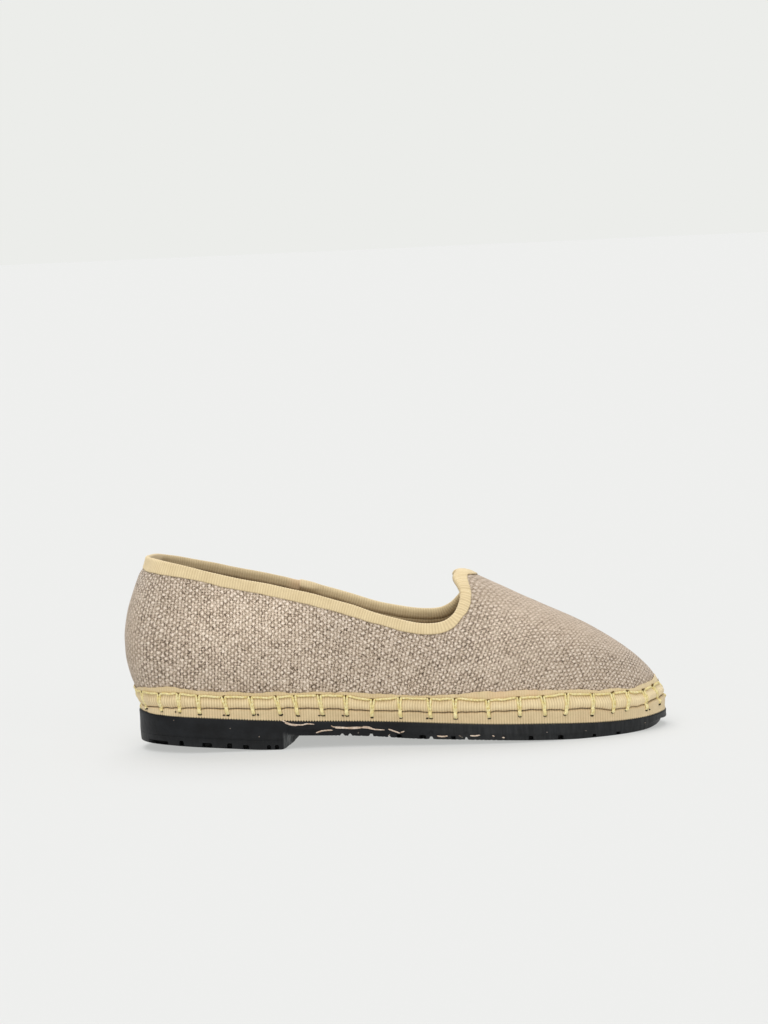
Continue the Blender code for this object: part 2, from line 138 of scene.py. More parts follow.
plan = readRows("x lateral medial centre inset", [
    (-122, 30.0, 30.0, -1.1, 2.6), (-85, 30.4, 29.6, -1.1, 2.8), (-50, 30.2, 28.4, -1.1, 3.0),
    (-15, 32.0, 28.4, -1.0, 3.2), (20, 38.0, 33.4, -0.8, 3.3), (52, 42.0, 40.8, 0.0, 3.4),
    (80, 43.0, 43.0, 1.2, 3.4), (128, 42.0, 42.0, 2.9, 3.2)])
last = readRows("x crown full bulge", [
    (-119.4, 155, 0.00, 8.8), (-110, 155, 0.00, 6.8), (-92, 152, 0.05, 3.4),
    (-60, 138, 0.08, 2.2), (-20, 114, 0.12, 1.6), (8, 89, 0.14, 1.2), (20, 80.6, 0.10, 1.0),
    (28, 76.9, 0.04, 0.9), (33, 77.7, 0.02, 0.8), (37, 77.0, 0.03, 0.8), (42, 74.6, 0.05, 0.7),
    (60, 65.4, 0.12, 0.5), (80, 55.4, 0.20, 0.3), (100, 45.6, 0.34, 0.1), (110, 40.4, 0.38, 0.1),
    (124, 31.9, 0.43, 0)])
collar = readRows("x z", [
    (30.7, 77.6), (29.3, 75.9), (29.5, 74.3), (30.6, 72.2), (31.5, 69.6), (31.3, 66.3),
    (29.6, 62.2), (26.6, 58.8),
    (22.2, 56.9), (15.5, 56.7), (4, 58.8), (-10.6, 63.4), (-29, 70.0), (-52, 76.4),
    (-76, 82.2), (-92, 86.7), (-104, 89.3), (-114, 91.0), (-119.4, 91.6)])


def outline(q):
    # the sole's edge: q is 0 at the heel's back, 1 at the toe, negative on the inner side
    x = lerp(shape["soleBack"], shape["soleTip"], 0.5 * (1.0 - np.cos(math.pi * q)))
    power = shape["endPower"]
    heel = np.clip((shape["soleBack"] + shape["heelRound"] - x) / shape["heelRound"], 0, 1)
    toe = np.clip((x - shape["soleTip"] + shape["toeRound"]) / shape["toeRound"], 0, 1)
    ends = ((1.0 - heel ** power) * (1.0 - toe ** power)) ** (1.0 / power)
    turn = np.sin(math.pi * q)
    half = np.where(turn > 0.0, along(plan, "lateral", x), along(plan, "medial", x)) * ends
    return x, along(plan, "centre", x) - np.copysign(half, turn)


def outlineNormal(q):
    behind, ahead = outline(q - 0.002), outline(q + 0.002)
    tx, ty = ahead[0] - behind[0], ahead[1] - behind[1]
    size = np.hypot(tx, ty)
    return ty / size, -tx / size


def outlineOffset(q, out):
    (x, y), (nx, ny) = outline(q), outlineNormal(q)
    return x + nx * out, y + ny * out


def foot(q, out=0.0):
    return outlineOffset(q, out - along(plan, "inset", outline(q)[0]))


def footHeight(q):
    return along(sideLines, "seam", foot(q)[0]) + shape["footLift"]


def ribAxis(x):
    blend = shape["fanBlend"]
    for axis, side in ((shape["heelAxis"], 1.0), (shape["toeAxis"], -1.0)):
        past = (x - axis) * side
        ease = np.maximum(past + blend, 0.0)
        x = np.where(past < blend, axis + side * ease * ease / (4.0 * blend), x)
    return x


def fanAxis(q):
    # the point of the shoe's middle line that the section at q runs to
    ax = ribAxis(outline(q)[0])
    return ax, along(plan, "centre", ax)


def lastPoint(q, angle, out=0.0):
    # a point of the upper's face: angle is 0 at the foot and grows to the crown's
    q, angle, out = np.broadcast_arrays(np.asarray(q, float), angle, out)
    over = angle > crownAngle
    q, angle = np.where(over, -q, q), np.where(over, math.pi - angle, angle)
    fx, fy = foot(q, out)
    ax, ay = fanAxis(q)
    sine, cosine = np.sin(angle), np.cos(angle)
    share = cosine * (1.0 + along(last, "full", fx) * sine * sine)
    base = footHeight(q)
    height = (along(last, "crown", ax + (fx - ax) * share) + out - base) * sine
    swell = np.sin(math.pi * (height / shape["bulgeReach"]) ** shape["bulgeSkew"])
    reach = np.hypot(fx - ax, fy - ay)
    share = share + along(last, "bulge", fx) * swell * np.minimum(1.0, 3.0 * cosine) / reach
    return stack(ax + (fx - ax) * share, ay + (fy - ay) * share, base + height)


def angleAt(q, z, out=0.0):
    return bisect(lambda angle: lastPoint(q, angle, out)[..., 2], 0.0, crownAngle, z)


def spread(values, points, count, closer=1.0):
    # values at even steps along their points, closer together at the throat
    steps = np.linalg.norm(np.diff(points, axis=0), axis=1)
    steps = steps * (1.0 + (closer - 1.0) * np.clip((points[1:, 0] - 5.0) / 20.0, 0.0, 1.0))
    way = np.concatenate([[0.0], np.cumsum(steps)])
    goals = np.linspace(0.0, way[-1], count + 1)
    return np.stack([np.interp(goals, way, column) for column in values.T], 1)


def rimLine(count, closer=1.0):
    # the collar's finished edge as (q, angle), from the throat's peak to the heel's back
    q = bisect(lambda value: foot(value)[0], 0.0, 1.0, collar["x"])
    angle = angleAt(q, collar["z"])
    angle[0], q[-1] = crownAngle, 0.0
    knots = np.stack([q, angle], 1)
    knots = np.vstack([[q[1], math.pi - angle[1]], knots, [-q[-2], angle[-2]]])
    t = np.linspace(0.0, 1.0, 40, endpoint=False)[:, None]
    fine = [hermite(knots[i], knots[i + 1], 0.5 * (knots[i + 1] - knots[i - 1]),
                    0.5 * (knots[i + 2] - knots[i]), t) for i in range(1, len(knots) - 2)]
    fine = np.vstack(fine + [knots[-2:-1]])
    return spread(fine, lastPoint(fine[:, 0], fine[:, 1]), count, closer)


def rimFrames(line):
    # stations round the collar: q, angle, and the change of both for a millimetre inwards
    loop = np.vstack([line, line[-2:0:-1] * (-1.0, 1.0)])
    q, angle = loop.T
    at = lastPoint(q, angle)
    run = np.roll(at, -1, 0) - np.roll(at, 1, 0)
    step = 0.002
    byQ = (lastPoint(q + step, angle) - lastPoint(q - step, angle)) / (2.0 * step)
    byAngle = (lastPoint(q, angle + step) - lastPoint(q, angle - step)) / (2.0 * step)
    openWay = unit(np.cross(run, np.cross(byQ, byAngle)))
    qq, qa, aa = (np.sum(a * b, 1) for a, b in ((byQ, byQ), (byQ, byAngle), (byAngle, byAngle)))
    alongQ, alongA = np.sum(byQ * openWay, 1), np.sum(byAngle * openWay, 1)
    scale = qq * aa - qa * qa
    return np.stack([q, angle, (alongQ * aa - alongA * qa) / scale,
                     (alongA * qq - alongQ * qa) / scale], 1)


# making meshes
def addObject(name, data):
    item = bpy.data.objects.new(name, data)
    bpy.context.scene.collection.objects.link(item)
    return item


def newPiece(name, points, faces, material, maps=None, fields=None, merge=0.0, sharp=50.0):
    # a closed mesh from points in millimetres; maps are UV maps and fields point attributes
    mesh = bpy.data.meshes.new(name)
    mesh.from_pydata((np.asarray(points, float).reshape(-1, 3) * mm).tolist(), [],
                     [tuple(face) for face in faces])
    corner = np.empty(len(mesh.loops), np.int32)
    mesh.loops.foreach_get("vertex_index", corner)
    for key, values in (maps or {}).items():
        layer = mesh.uv_layers.new(name=key)
        layer.uv.foreach_set("vector", values.reshape(-1, 2)[corner].astype(np.float32).ravel())
    for key, values in (fields or {}).items():
        layer = mesh.attributes.new(key, "FLOAT", "POINT")
        layer.data.foreach_set("value", np.asarray(values, np.float32).ravel())
    work = bmesh.new()
    work.from_mesh(mesh)
    if merge:
        bmesh.ops.remove_doubles(work, verts=work.verts, dist=merge * mm)
        bmesh.ops.dissolve_degenerate(work, edges=work.edges, dist=0.2 * merge * mm)
    bmesh.ops.recalc_face_normals(work, faces=work.faces)
    work.to_mesh(mesh)
    work.free()
    mesh.shade_smooth()
    if sharp:
        mesh.set_sharp_from_angle(angle=math.radians(sharp))
    mesh.materials.append(material)
    return addObject(name, mesh)


def gridFaces(rows, columns, closeRows=True, closeColumns=False):
    i = np.arange(rows if closeRows else rows - 1)[:, None]
    k = np.arange(columns if closeColumns else columns - 1)[None, :]
    j, m = (i + 1) % rows, (k + 1) % columns
    return np.stack([i * columns + k, j * columns + k, j * columns + m, i * columns + m],
                    -1).reshape(-1, 4)


def addNode(tree, kind, inputs=(), **settings):
    # one node: its settings, then its inputs linked or set, by place or by name
    node = tree.nodes.new(kind)
    for name, value in settings.items():
        setattr(node, name, value)
    for name, value in inputs.items() if isinstance(inputs, dict) else enumerate(inputs):
        if isinstance(value, bpy.types.Node):
            value = value.outputs[0]
        if isinstance(value, bpy.types.NodeSocket):
            tree.links.new(value, node.inputs[name])
        elif value is not None:
            node.inputs[name].default_value = value
    return node


# names of the node kinds used most
calc, vectors, noises = "ShaderNodeMath", "ShaderNodeVectorMath", "ShaderNodeTexNoise"
mixer, mapper, reader = "ShaderNodeMix", "ShaderNodeMapRange", "GeometryNodeInputNamedAttribute"


def linear(hexColour):
    # sRGB hex to linear colour
    parts = [int(hexColour[i:i + 2], 16) / 255.0 for i in (1, 3, 5)]
    return tuple(v / 12.92 if v <= 0.04045 else ((v + 0.055) / 1.055) ** 2.4
                 for v in parts) + (1.0,)


def newMaterial(name, roughness, specular=0.5, sheen=0.0):
    material = bpy.data.materials.new(name)
    material.use_nodes = True
    tree = material.node_tree
    shader = tree.nodes["Principled BSDF"]
    for key, value in (("Roughness", roughness), ("Specular IOR Level", specular),
                       ("Sheen Weight", sheen), ("Sheen Roughness", 0.55)):
        shader.inputs[key].default_value = value
    return material, tree, shader, addNode(tree, "ShaderNodeTexCoord").outputs["Object"]


def fillShader(tree, shader, colour, height=None, strength=0.0, relief=0.0):
    # colour into the shader, and a bump of that relief in mm where there is a height
    tree.links.new(colour, shader.inputs["Base Color"])
    if height is not None:
        bump = addNode(tree, "ShaderNodeBump", {
            "Strength": strength, "Distance": relief * mm, "Height": height})
        tree.links.new(bump.outputs[0], shader.inputs["Normal"])


# Unbleached linen, coarse plain weave of slubby yarn: pale round knots on a checkerboard with
# dark gaps between, dry and without gloss.
linenLook = {
    # thread spacings in mm, then colours
    "warp": 1.56, "weft": 1.30, "gap": "#3a2b1e", "yarn": "#bda993", "knot": "#f1e4d6",
    # how far threads stray, over 2, 6 and 25 mm
    "stray": (0.42, 0.48, 1.1),
    "checker": 0.21, "ridges": (0.27, 0.13), "slub": 0.17, "chance": 0.20, "fuzz": 1.7,
    "relief": 0.22, "rough": 0.92, "gloss": 0.18, "sheen": 0.12,
}


def makeLinen(name, look, mapName="weaveMap", tone=1.0):
    material, tree, shader, spot = newMaterial(name, look["rough"], look["gloss"], look["sheen"])
    place = addNode(tree, "ShaderNodeUVMap", uv_map=mapName)
    for size, reach in zip((2.0, 6.0, 25.0), look["stray"]):
        noise = addNode(tree, noises, {"Vector": spot, "Scale": 1000.0 / size, "Detail": 1.0})
        stray = addNode(tree, vectors, (noise.outputs["Color"], (0.5,) * 3),
                        operation="SUBTRACT")
        place = addNode(tree, vectors, (stray, (2.0 * reach,) * 3, place),
                        operation="MULTIPLY_ADD")
    parts = addNode(tree, "ShaderNodeSeparateXYZ", (place,))
    waves, cells, slub = [], [], -1.0
    for k, spacing in enumerate((look["warp"], look["weft"])):
        turn = addNode(tree, calc, (parts.outputs[k], math.pi / spacing), operation="MULTIPLY")
        waves.append(addNode(tree, calc, (turn,), operation="COSINE"))
        steps = addNode(tree, calc, (parts.outputs[k], 1.0 / spacing, 0.5),
                        operation="MULTIPLY_ADD")
        cells.append(addNode(tree, calc, (steps,), operation="FLOOR"))
        stretch = [0.07, 0.07, 1.0]
        stretch[k] = 0.62 / spacing
        long = addNode(tree, vectors, (place, tuple(stretch)), operation="MULTIPLY")
        streak = addNode(tree, noises, {"Vector": long, "Scale": 1.0, "Detail": 2.0})
        slub = addNode(tree, calc, (streak, slub), operation="ADD")
    cell = addNode(tree, "ShaderNodeCombineXYZ", cells)
    chance = addNode(tree, "ShaderNodeTexWhiteNoise", {"Vector": cell}, noise_dimensions="2D")
    checker = addNode(tree, calc, waves, operation="MULTIPLY")
    ridges = [addNode(tree, calc, (wave, wave), operation="MULTIPLY") for wave in waves]
    fuzz = addNode(tree, noises, {"Vector": spot, "Scale": 2300.0, "Detail": 2.0,
                                  "Roughness": 0.6})
    height = 0.5 - 0.5 * (sum(look["ridges"]) + look["chance"] + look["fuzz"])
    for part, share in ((checker, look["checker"]), (ridges[0], look["ridges"][0]),
                        (ridges[1], look["ridges"][1]), (slub, look["slub"]),
                        (chance, look["chance"]), (fuzz, look["fuzz"])):
        height = addNode(tree, calc, (part, share, height), operation="MULTIPLY_ADD")
    # rubbed and stretched places show less of the weave
    soft = addNode(tree, "ShaderNodeAttribute", attribute_name="soft").outputs["Fac"]
    seen = addNode(tree, mixer, {0: soft, 2: height, 3: 0.5}, data_type="FLOAT")
    ramp = addNode(tree, "ShaderNodeValToRGB", (seen,))
    ramp.color_ramp.elements.new(0.5)
    for element, position, key in zip(ramp.color_ramp.elements, (0.14, 0.47, 0.97),
                                      ("gap", "yarn", "knot")):
        element.position, element.color = position, linear(look[key])
    cloud = addNode(tree, noises, {"Vector": spot, "Scale": 40.0, "Detail": 3.0})
    cloud = addNode(tree, mapper, (cloud, 0.3, 0.7, 0.96 * tone, 1.04 * tone))
    # painted light and tone: a field lightens or darkens the cloth's colour
    paintedLightAndTone = addNode(tree, "ShaderNodeAttribute", attribute_name="paintedLightAndTone").outputs["Fac"]
    cloud = addNode(tree, calc, (paintedLightAndTone, 1.0, cloud), operation="MULTIPLY_ADD")
    shade = addNode(tree, vectors, {0: ramp, "Scale": cloud}, operation="SCALE")
    fillShader(tree, shader, shade.outputs[0], height, 0.9, look["relief"])
    return material


# Grosgrain ribbon: modelled cross ribs, painted darker in their grooves, a soft cotton sheen, and
# painted shade and light where its fields say.
ribbonLook = {"pitch": 1.25, "light": "#f6e2b6", "dark": "#a98a5a", "blush": "#e0a98a",
              "paintedShade": "#6e5434", "paintedHoleShade": "#3a2a1a", "rib": 0.17, "patch": 0.3, "grain": 0.3,
              "middle": 0.62, "relief": 0.06, "rough": 0.75, "gloss": 0.3, "sheen": 0.15}


def makeRibbon(name, look):
    material, tree, shader, spot = newMaterial(name, look["rough"], look["gloss"], look["sheen"])
    fields = {key: addNode(tree, "ShaderNodeAttribute", attribute_name=key).outputs["Fac"]
              for key in ("along", "ribbed", "paintedLightAndTone", "blush", "paintedShade", "paintedHoleShade")}
    turn = addNode(tree, calc, (fields["along"], math.tau / look["pitch"]),
                   operation="MULTIPLY")
    # painted shade: the ribs' grooves are darker than their tops
    rib = addNode(tree, calc, (turn,), operation="COSINE")
    rib = addNode(tree, calc, (rib, fields["ribbed"]), operation="MULTIPLY")
    patch = addNode(tree, noises, {"Vector": spot, "Scale": 200.0, "Detail": 3.0})
    grain = addNode(tree, noises, {"Vector": spot, "Scale": 2000.0, "Detail": 2.0})
    # the level mixes painted rib shade, tone patches, grain and a field of painted light and tone
    level = look["middle"] - 0.5 * look["patch"] - 0.5 * look["grain"]
    for part, share in ((rib, look["rib"]), (patch, look["patch"]), (grain, look["grain"]),
                        (fields["paintedLightAndTone"], 1.0)):
        level = addNode(tree, calc, (part, share, level), operation="MULTIPLY_ADD")
    colour = addNode(tree, mixer, {0: level, 6: linear(look["dark"]), 7: linear(look["light"])},
                     data_type="RGBA").outputs[2]
    # a pink tint, then painted shade in creases and under edges, then painted shade round the
    # thread's upper holes
    for key in ("blush", "paintedShade", "paintedHoleShade"):
        colour = addNode(tree, mixer, {0: fields[key], 6: colour, 7: linear(look[key])},
                         data_type="RGBA").outputs[2]
    fillShader(tree, shader, colour, grain, 0.6, look["relief"])
    return material


def makePlain(name, light, dark, size, roughness, specular, relief=0.0, coat=0.0):
    # two shades in soft patches of that size in mm, with a slight relief
    material, tree, shader, spot = newMaterial(name, roughness, specular)
    shader.inputs["Coat Weight"].default_value = coat
    shader.inputs["Coat Roughness"].default_value = 0.35
    patch = addNode(tree, noises, {"Vector": spot, "Scale": 1000.0 / size, "Detail": 3.0,
                                   "Roughness": 0.6})
    share = addNode(tree, mapper, (patch, 0.3, 0.7, 0.0, 1.0))
    colour = addNode(tree, mixer, {0: share, 6: linear(dark), 7: linear(light)},
                     data_type="RGBA").outputs[2]
    fine = None
    if relief:
        fine = addNode(tree, noises, {"Vector": spot, "Scale": 4000.0 / size, "Detail": 2.0})
    fillShader(tree, shader, colour, fine, 0.5, relief)
    return material, tree, shader, spot, colour


linen = makeLinen("unbleachedLinen", linenLook, tone=1.02)
# Cotton twill under the foot: finer, flatter and yellower than the linen.
sockLook = dict(linenLook, warp=0.9, weft=0.8, gap="#a08a6c", yarn="#c9b594", knot="#dccbae",
                stray=(0.1, 0.15, 0.6), relief=0.08)
sock = makeLinen("cottonTwillSock", sockLook)
# Brown cotton lining, painted darker so that it carries the shade inside the opening.
liningCloth = makeLinen("brownLiningPaintedShade", dict(sockLook, gap="#5f4a36", yarn="#84694e",
                                                  knot="#9a7f62"))
# The binding is the palest ribbon, clean and flat.
bindingRibbon = makeRibbon("grosgrainBinding", dict(ribbonLook, pitch=1.2, rib=0.12,
                                                    middle=0.70))
bandRibbon = makeRibbon("grosgrainBand", ribbonLook)
# The lower ribbon is painted darker and duller than the band: painted shade under the roll.
soleRibbon = makeRibbon("grosgrainFoxing", dict(ribbonLook, light="#ecd6ab", dark="#94794f",
                                                rib=0.12))
# Waxed cotton sewing thread, two plies: yellow, with a soft gloss along each ply.
thread = makePlain("waxedCottonThread", "#fff4c2", "#e6cf7e", 1.3, 0.42, 0.5, 0.05, 0.2)[0]
# Pricked holes: nearly black plugs that paint the shade inside each hole.
holeShade = makePlain("needleHoleShade", "#241a12", "#0d0a08", 0.8, 0.9, 0.1)[0]
# The upper holes are filled by thread: brown plugs paint the shade round the thread there.
holeBrown = makePlain("threadedHoleShade", "#8c7140", "#5a4422", 1.2, 0.9, 0.1)[0]
# Loose jute fibres caught on the sole: pale, dry, slightly pink.
fibre = makePlain("juteFibre", "#f0e0d0", "#b89c82", 1.5, 0.9, 0.2)[0]


# Moulded rubber: near black and satin, with a dusty bloom, pale specks, scuffed corners, painted
# sheen and, in its hollows, painted shade.
def makeRubber():
    material, tree, shader, spot, colour = makePlain("mouldedRubber", "#191b1e", "#0b0c0e", 7.0,
                                                     0.5, 0.22, 0.3)
    speck = addNode(tree, noises, {"Vector": spot, "Scale": 900.0, "Detail": 2.0,
                                   "Roughness": 0.7})
    speck = addNode(tree, mapper, (speck, 0.76, 0.84, 0.0, 0.5))
    # scuffs run up and down, about 1 mm apart
    long = addNode(tree, vectors, (spot, (1000.0, 1000.0, 120.0)), operation="MULTIPLY")
    scuff = addNode(tree, noises, {"Vector": long, "Scale": 1.0, "Detail": 2.0})
    scuff = addNode(tree, mapper, (scuff, 0.35, 0.68, 0.35, 1.0))
    scuffAndSheen, hollowShade = (addNode(tree, "ShaderNodeAttribute", attribute_name=key).outputs["Fac"]
                    for key in ("scuffAndSheen", "hollowShade"))
    scuffAndSheen = addNode(tree, calc, (scuffAndSheen, scuff), operation="MULTIPLY")
    # pale specks, then streaked scuffs with painted sheen, then painted shade in the side's
    # hollows
    for share, tint in ((speck, "#7b756b"), (scuffAndSheen, "#8b8d8c"), (hollowShade, "#020202")):
        colour = addNode(tree, mixer, {0: share, 6: colour, 7: linear(tint)},
                         data_type="RGBA").outputs[2]
    fillShader(tree, shader, colour)
    return material


rubber = makeRubber()
print("materials made")

# the upper
# Sizes are ribs behind and ahead of the throat's peak, and rows; faces are mm off the last.
upperPlan = {"size": (170, 76, 46), "faces": (0.0, -0.9), "liningSize": (90, 40, 26),
             "liningFaces": (-0.95, -1.8), "bindWidth": 5.6, "cut": 1.75, "footAhead": 0.03,
             "closer": 1.9, "hemEase": 0.3}
# Soft troughs and ridges, listed: side (1 outer, -1 inner), ends (x, z), width and depth.
creases = [
    (1, -36, 50, -14, 38, 9.0, -0.75), (1, -14, 38, 8, 27, 6.5, -0.7),
    (1, -48, 34, -20, 26, 5.0, 0.35), (1, -108, 68, -98, 58, 9.0, -0.5),
    (1, 76, 35, 96, 27, 7.5, -0.6), (1, 58, 44, 92, 40, 6.0, 0.3),
    (1, 20, 44, 44, 30, 8.0, -0.3), (1, -84, 30, -58, 27, 4.0, -0.45),
    (1, 96, 41, 110, 30, 5.0, -0.3), (-1, -34, 46, 2, 28, 8.0, -0.8),
    (-1, -60, 40, -30, 30, 6.0, -0.4), (-1, 70, 38, 98, 27, 8.0, -0.5),
    (-1, -106, 60, -92, 44, 8.0, -0.4), (-1, 30, 40, 52, 28, 7.0, -0.3),
]


def creaseDepth(points):
    x, z = points[..., 0], points[..., 2]
    side = np.where(points[..., 1] < along(plan, "centre", x), 1, -1)
    total = 0.10 * ripple(points, 26.0, 11) + 0.05 * ripple(points, 9.0, 12)
    for which, x0, z0, x1, z1, width, depth in creases:
        way = np.array([x1 - x0, z1 - z0], float)
        t = np.clip(((x - x0) * way[0] + (z - z0) * way[1]) / (way @ way), 0.0, 1.0)
        away = np.hypot(x - x0 - t * way[0], z - z0 - t * way[1])
        total = total + np.where(side == which, depth * hump(away, 0.0, width), 0.0)
    return total - 0.12


def cinch(points):
    # the binding pulls the linen in a little at the heel's back
    x, z = points[..., 0], points[..., 2]
    return smooth(-109.0, -117.0, x) * (0.5 * smooth(86.5, 90.5, z) - 1.1 * smooth(82.3, 87.0, z))


def peakWidth(way):
    # the binding is wider where it turns round the tip of the throat
    return (upperPlan["bindWidth"] + 5.4 * np.exp(-(way / 4.4) ** 1.3)
            + 1.3 * hump(way, 10.0, 7.5))


def rimShift(x, near):
    # the inner side's edge is pulled higher round the dip and lower beside the peak
    return 1.25 * hump(x, 18.0, 20.0) - 0.9 * hump(x, -98.0, 14.0) \
        - 3.2 * hump(near, 13.0, 6.0) - 2.6 * hump(near, 24.0, 7.0)


def upperRibs(rearRibs, vampRibs, rows):
    # (q, angle) of each rib's points, from the toe round the outer side and back
    line = rimLine(rearRibs, upperPlan["closer"])
    frames = rimFrames(line)[:rearRibs + 1]
    at = lastPoint(frames[:, 0], frames[:, 1])
    near = np.append(0.0, np.cumsum(np.linalg.norm(np.diff(at, axis=0), axis=1)))
    sag = np.maximum(-rimShift(at[:, 0], near), 0.0)[:, None]
    hem = frames[:, :2] - frames[:, 2:] * upperPlan["bindWidth"]
    cut = frames[:, :2] - frames[:, 2:] * upperPlan["cut"]
    innerCut = cut - frames[:, 2:] * sag
    for edge in (hem, cut, innerCut):
        edge[0, 1], edge[-1, 0] = crownAngle, 0.0
    peakFoot = hem[0, 0] + upperPlan["footAhead"]
    line = peakFoot * (1.0 - np.linspace(0.0, 1.0, 161))[:, None]
    fx, fy = foot(line[:, 0])
    feet = spread(line, stack(fx, fy, 0.0), rearRibs, upperPlan["closer"])[:, 0]
    ahead = np.arange(vampRibs) / vampRibs
    low = np.concatenate([lerp(1.0, peakFoot, ahead), feet])
    crown = np.stack([lerp(1.0, hem[0, 0], ahead), np.full(vampRibs, crownAngle)], 1)
    hem, cut, innerCut = (np.vstack([crown, edge]) for edge in (hem, cut, innerCut))
    t = np.linspace(0.0, 1.0, rows)[None, :]
    q, angle = lerp(low[:, None], hem[:, :1], t * t), hem[:, 1:] * t
    outer, inner = (np.dstack([np.hstack([q, edge[:, :1]]), np.hstack([angle, edge[:, 1:]])])
                    for edge in (cut, innerCut))
    both = np.vstack([outer, inner[-2:0:-1] * (-1.0, 1.0)])
    return both[..., 0], both[..., 1]


weavePlan = readRows("x lean rate rise", [
    (-128, 0.09, 1.00, 0.07), (-100, 0.10, 0.98, 0.09), (-60, 0.07, 1.0, 0.10),
    (-40, 0.09, 1.06, 0.11), (-21, 0.13, 1.09, 0.20), (3, 0.22, 1.08, 0.22),
    (31, 0.30, 1.09, 0.25), (48, 0.41, 1.23, 0.34), (64, 0.50, 1.07, 0.42),
    (83, 0.59, 0.88, 0.5), (104, 0.60, 0.76, 0.5), (124, 0.60, 0.70, 0.5)])


# Where the cloth's map changes its way of measuring, in x; how far in from the sole's edge it
# is measured round the heel; how far it is softened; and the steps of its grid.
weaveRange = {"start": -128.0, "end": 124.0, "farBack": -190.0, "heel": -60.0, "throat": 30.0,
              "toe": 58.0, "toeBlend": (60.0, 70.0), "edge": 2.6, "soften": 20, "sides": 300,
              "turns": 60}


def weaveMap(q, angle, points):
    # where the cloth's own threads lie, in mm: warps lean forward to the toe
    sides, turnSteps = weaveRange["sides"], weaveRange["turns"]
    side = np.linspace(0.0, 1.0, sides + 1)
    turns = np.linspace(0.0, crownAngle, turnSteps + 1)
    grid = lastPoint(side[:, None], turns[None, :])
    steps = np.linalg.norm(np.diff(grid, axis=1), axis=2)
    arcs = np.hstack([np.zeros((len(side), 1)), np.cumsum(steps, 1)])
    qa, ta = np.abs(q) * sides, angle / crownAngle * turnSteps
    i, k = np.minimum(qa.astype(int), sides - 1), np.minimum(ta.astype(int), turnSteps - 1)
    u, v = qa - i, ta - k
    arc = lerp(lerp(arcs[i, k], arcs[i + 1, k], u), lerp(arcs[i, k + 1], arcs[i + 1, k + 1], u), v)
    # across the toe the cloth isn't fanned: slices at a constant x
    xs = np.arange(weaveRange["toe"], weaveRange["end"], 1.0)
    sliceY, sliceZ = np.empty((2, len(turns), len(xs)))
    ridge = lastPoint(1.0, turns)
    ridgeY, ridgeZ = (np.interp(xs, ridge[::-1, 0], ridge[::-1, n]) for n in (1, 2))
    for n in range(len(turns)):
        order = np.argsort(grid[:, n, 0])
        reached = xs <= grid[:, n, 0].max()
        sliceY[n] = np.where(reached, np.interp(xs, grid[order, n, 0], grid[order, n, 1]), ridgeY)
        sliceZ[n] = np.where(reached, np.interp(xs, grid[order, n, 0], grid[order, n, 2]), ridgeZ)
    sliceArc = np.vstack([np.zeros(len(xs)), np.cumsum(np.hypot(np.diff(sliceY, axis=0),
                                                               np.diff(sliceZ, axis=0)), 0)])
    x, z = points[..., 0], points[..., 2]
    fromRidge = np.empty((len(xs),) + x.shape)
    for n in range(len(xs)):
        heights = np.maximum.accumulate(sliceZ[:, n] + np.arange(len(turns)) * 1e-6)
        fromRidge[n] = sliceArc[-1, n] - np.interp(z, heights, sliceArc[:, n])
    place = np.clip(x - xs[0], 0.0, len(xs) - 1.001)
    j = place.astype(int)
    picks = np.take_along_axis(fromRidge, np.stack([j, j + 1]), 0)
    toeDrop = lerp(picks[0], picks[1], place - j)
    # from the toe's ridge back to the throat, then along the quarters
    start, end, heel = (weaveRange[key] for key in ("start", "end", "heel"))
    line = np.arange(start, end + 1.0, 1.0)
    full = np.interp(line, grid[:, -1, 0], arcs[:, -1])
    rise = along(weavePlan, "rise", line)
    back = np.cumsum(rise[::-1])[::-1]
    throat = np.searchsorted(line, weaveRange["throat"])
    full = np.where(line < line[throat], full[throat] + back - back[throat], full)
    soften = weaveRange["soften"]
    window = np.hanning(2 * soften + 1)
    padded = np.pad(full, soften, mode="reflect", reflect_type="odd")
    full = np.convolve(padded, window / window.sum(), "valid")
    drop = np.interp(np.clip(x, start, end), line, full) - arc
    v = lerp(drop, toeDrop, smooth(*weaveRange["toeBlend"], x))
    # round the heel the cloth is measured along the edge
    way = planLengths(*outlineOffset(side, -weaveRange["edge"]))
    anchor = np.interp(heel, outline(side)[0], way)
    edge = np.interp(np.abs(q), side, way) - anchor + heel
    rounds = np.where(x > heel, x, edge)
    longLine = np.arange(weaveRange["farBack"], end + 1.0, 1.0)
    total = np.cumsum(along(weavePlan, "rate", longLine))
    total = total - total[np.searchsorted(longLine, start)]
    # on the vamp the warps lean by the way up the cloth, not by its height
    climb = lerp(z, arc + 15.0, smooth(30.0, 56.0, x))
    u = np.interp(rounds, longLine, total) - along(weavePlan, "lean", x) * climb
    return np.stack([u, v], -1)


def softness(points):
    # where the cloth is smoother: the heel's back, and the vamp's top where it is stretched
    x, z = points[..., 0], points[..., 2]
    top = smooth(0.74, 0.97, z / along(last, "crown", x)) * smooth(26.0, 40.0, x)
    ease = 1.0 - smooth(105.0, 120.0, x)
    return 0.5 * smooth(-116.5, -123.0, x) + (0.42 * top + 0.13 * smooth(30.0, 50.0, x)) * ease \
        + 0.35 * smooth(108.0, 121.0, x)


def clothLightAndTone(points):
    # painted light: the outer quarter is lighter under the collar and on the vamp's side, where
    # light falls on the wall's upper part; the heel's back is a little darker
    x, y, z = (points[..., k] for k in range(3))
    spots = 0.25 * hump(x, -66.0, 34.0) * hump(z, 64.0, 22.0) \
        + 0.10 * hump(x, 56.0, 26.0) * hump(z, 54.0, 14.0)
    return np.where(y < 0.0, spots, 0.0) - 0.06 * smooth(-96.0, -112.0, x)


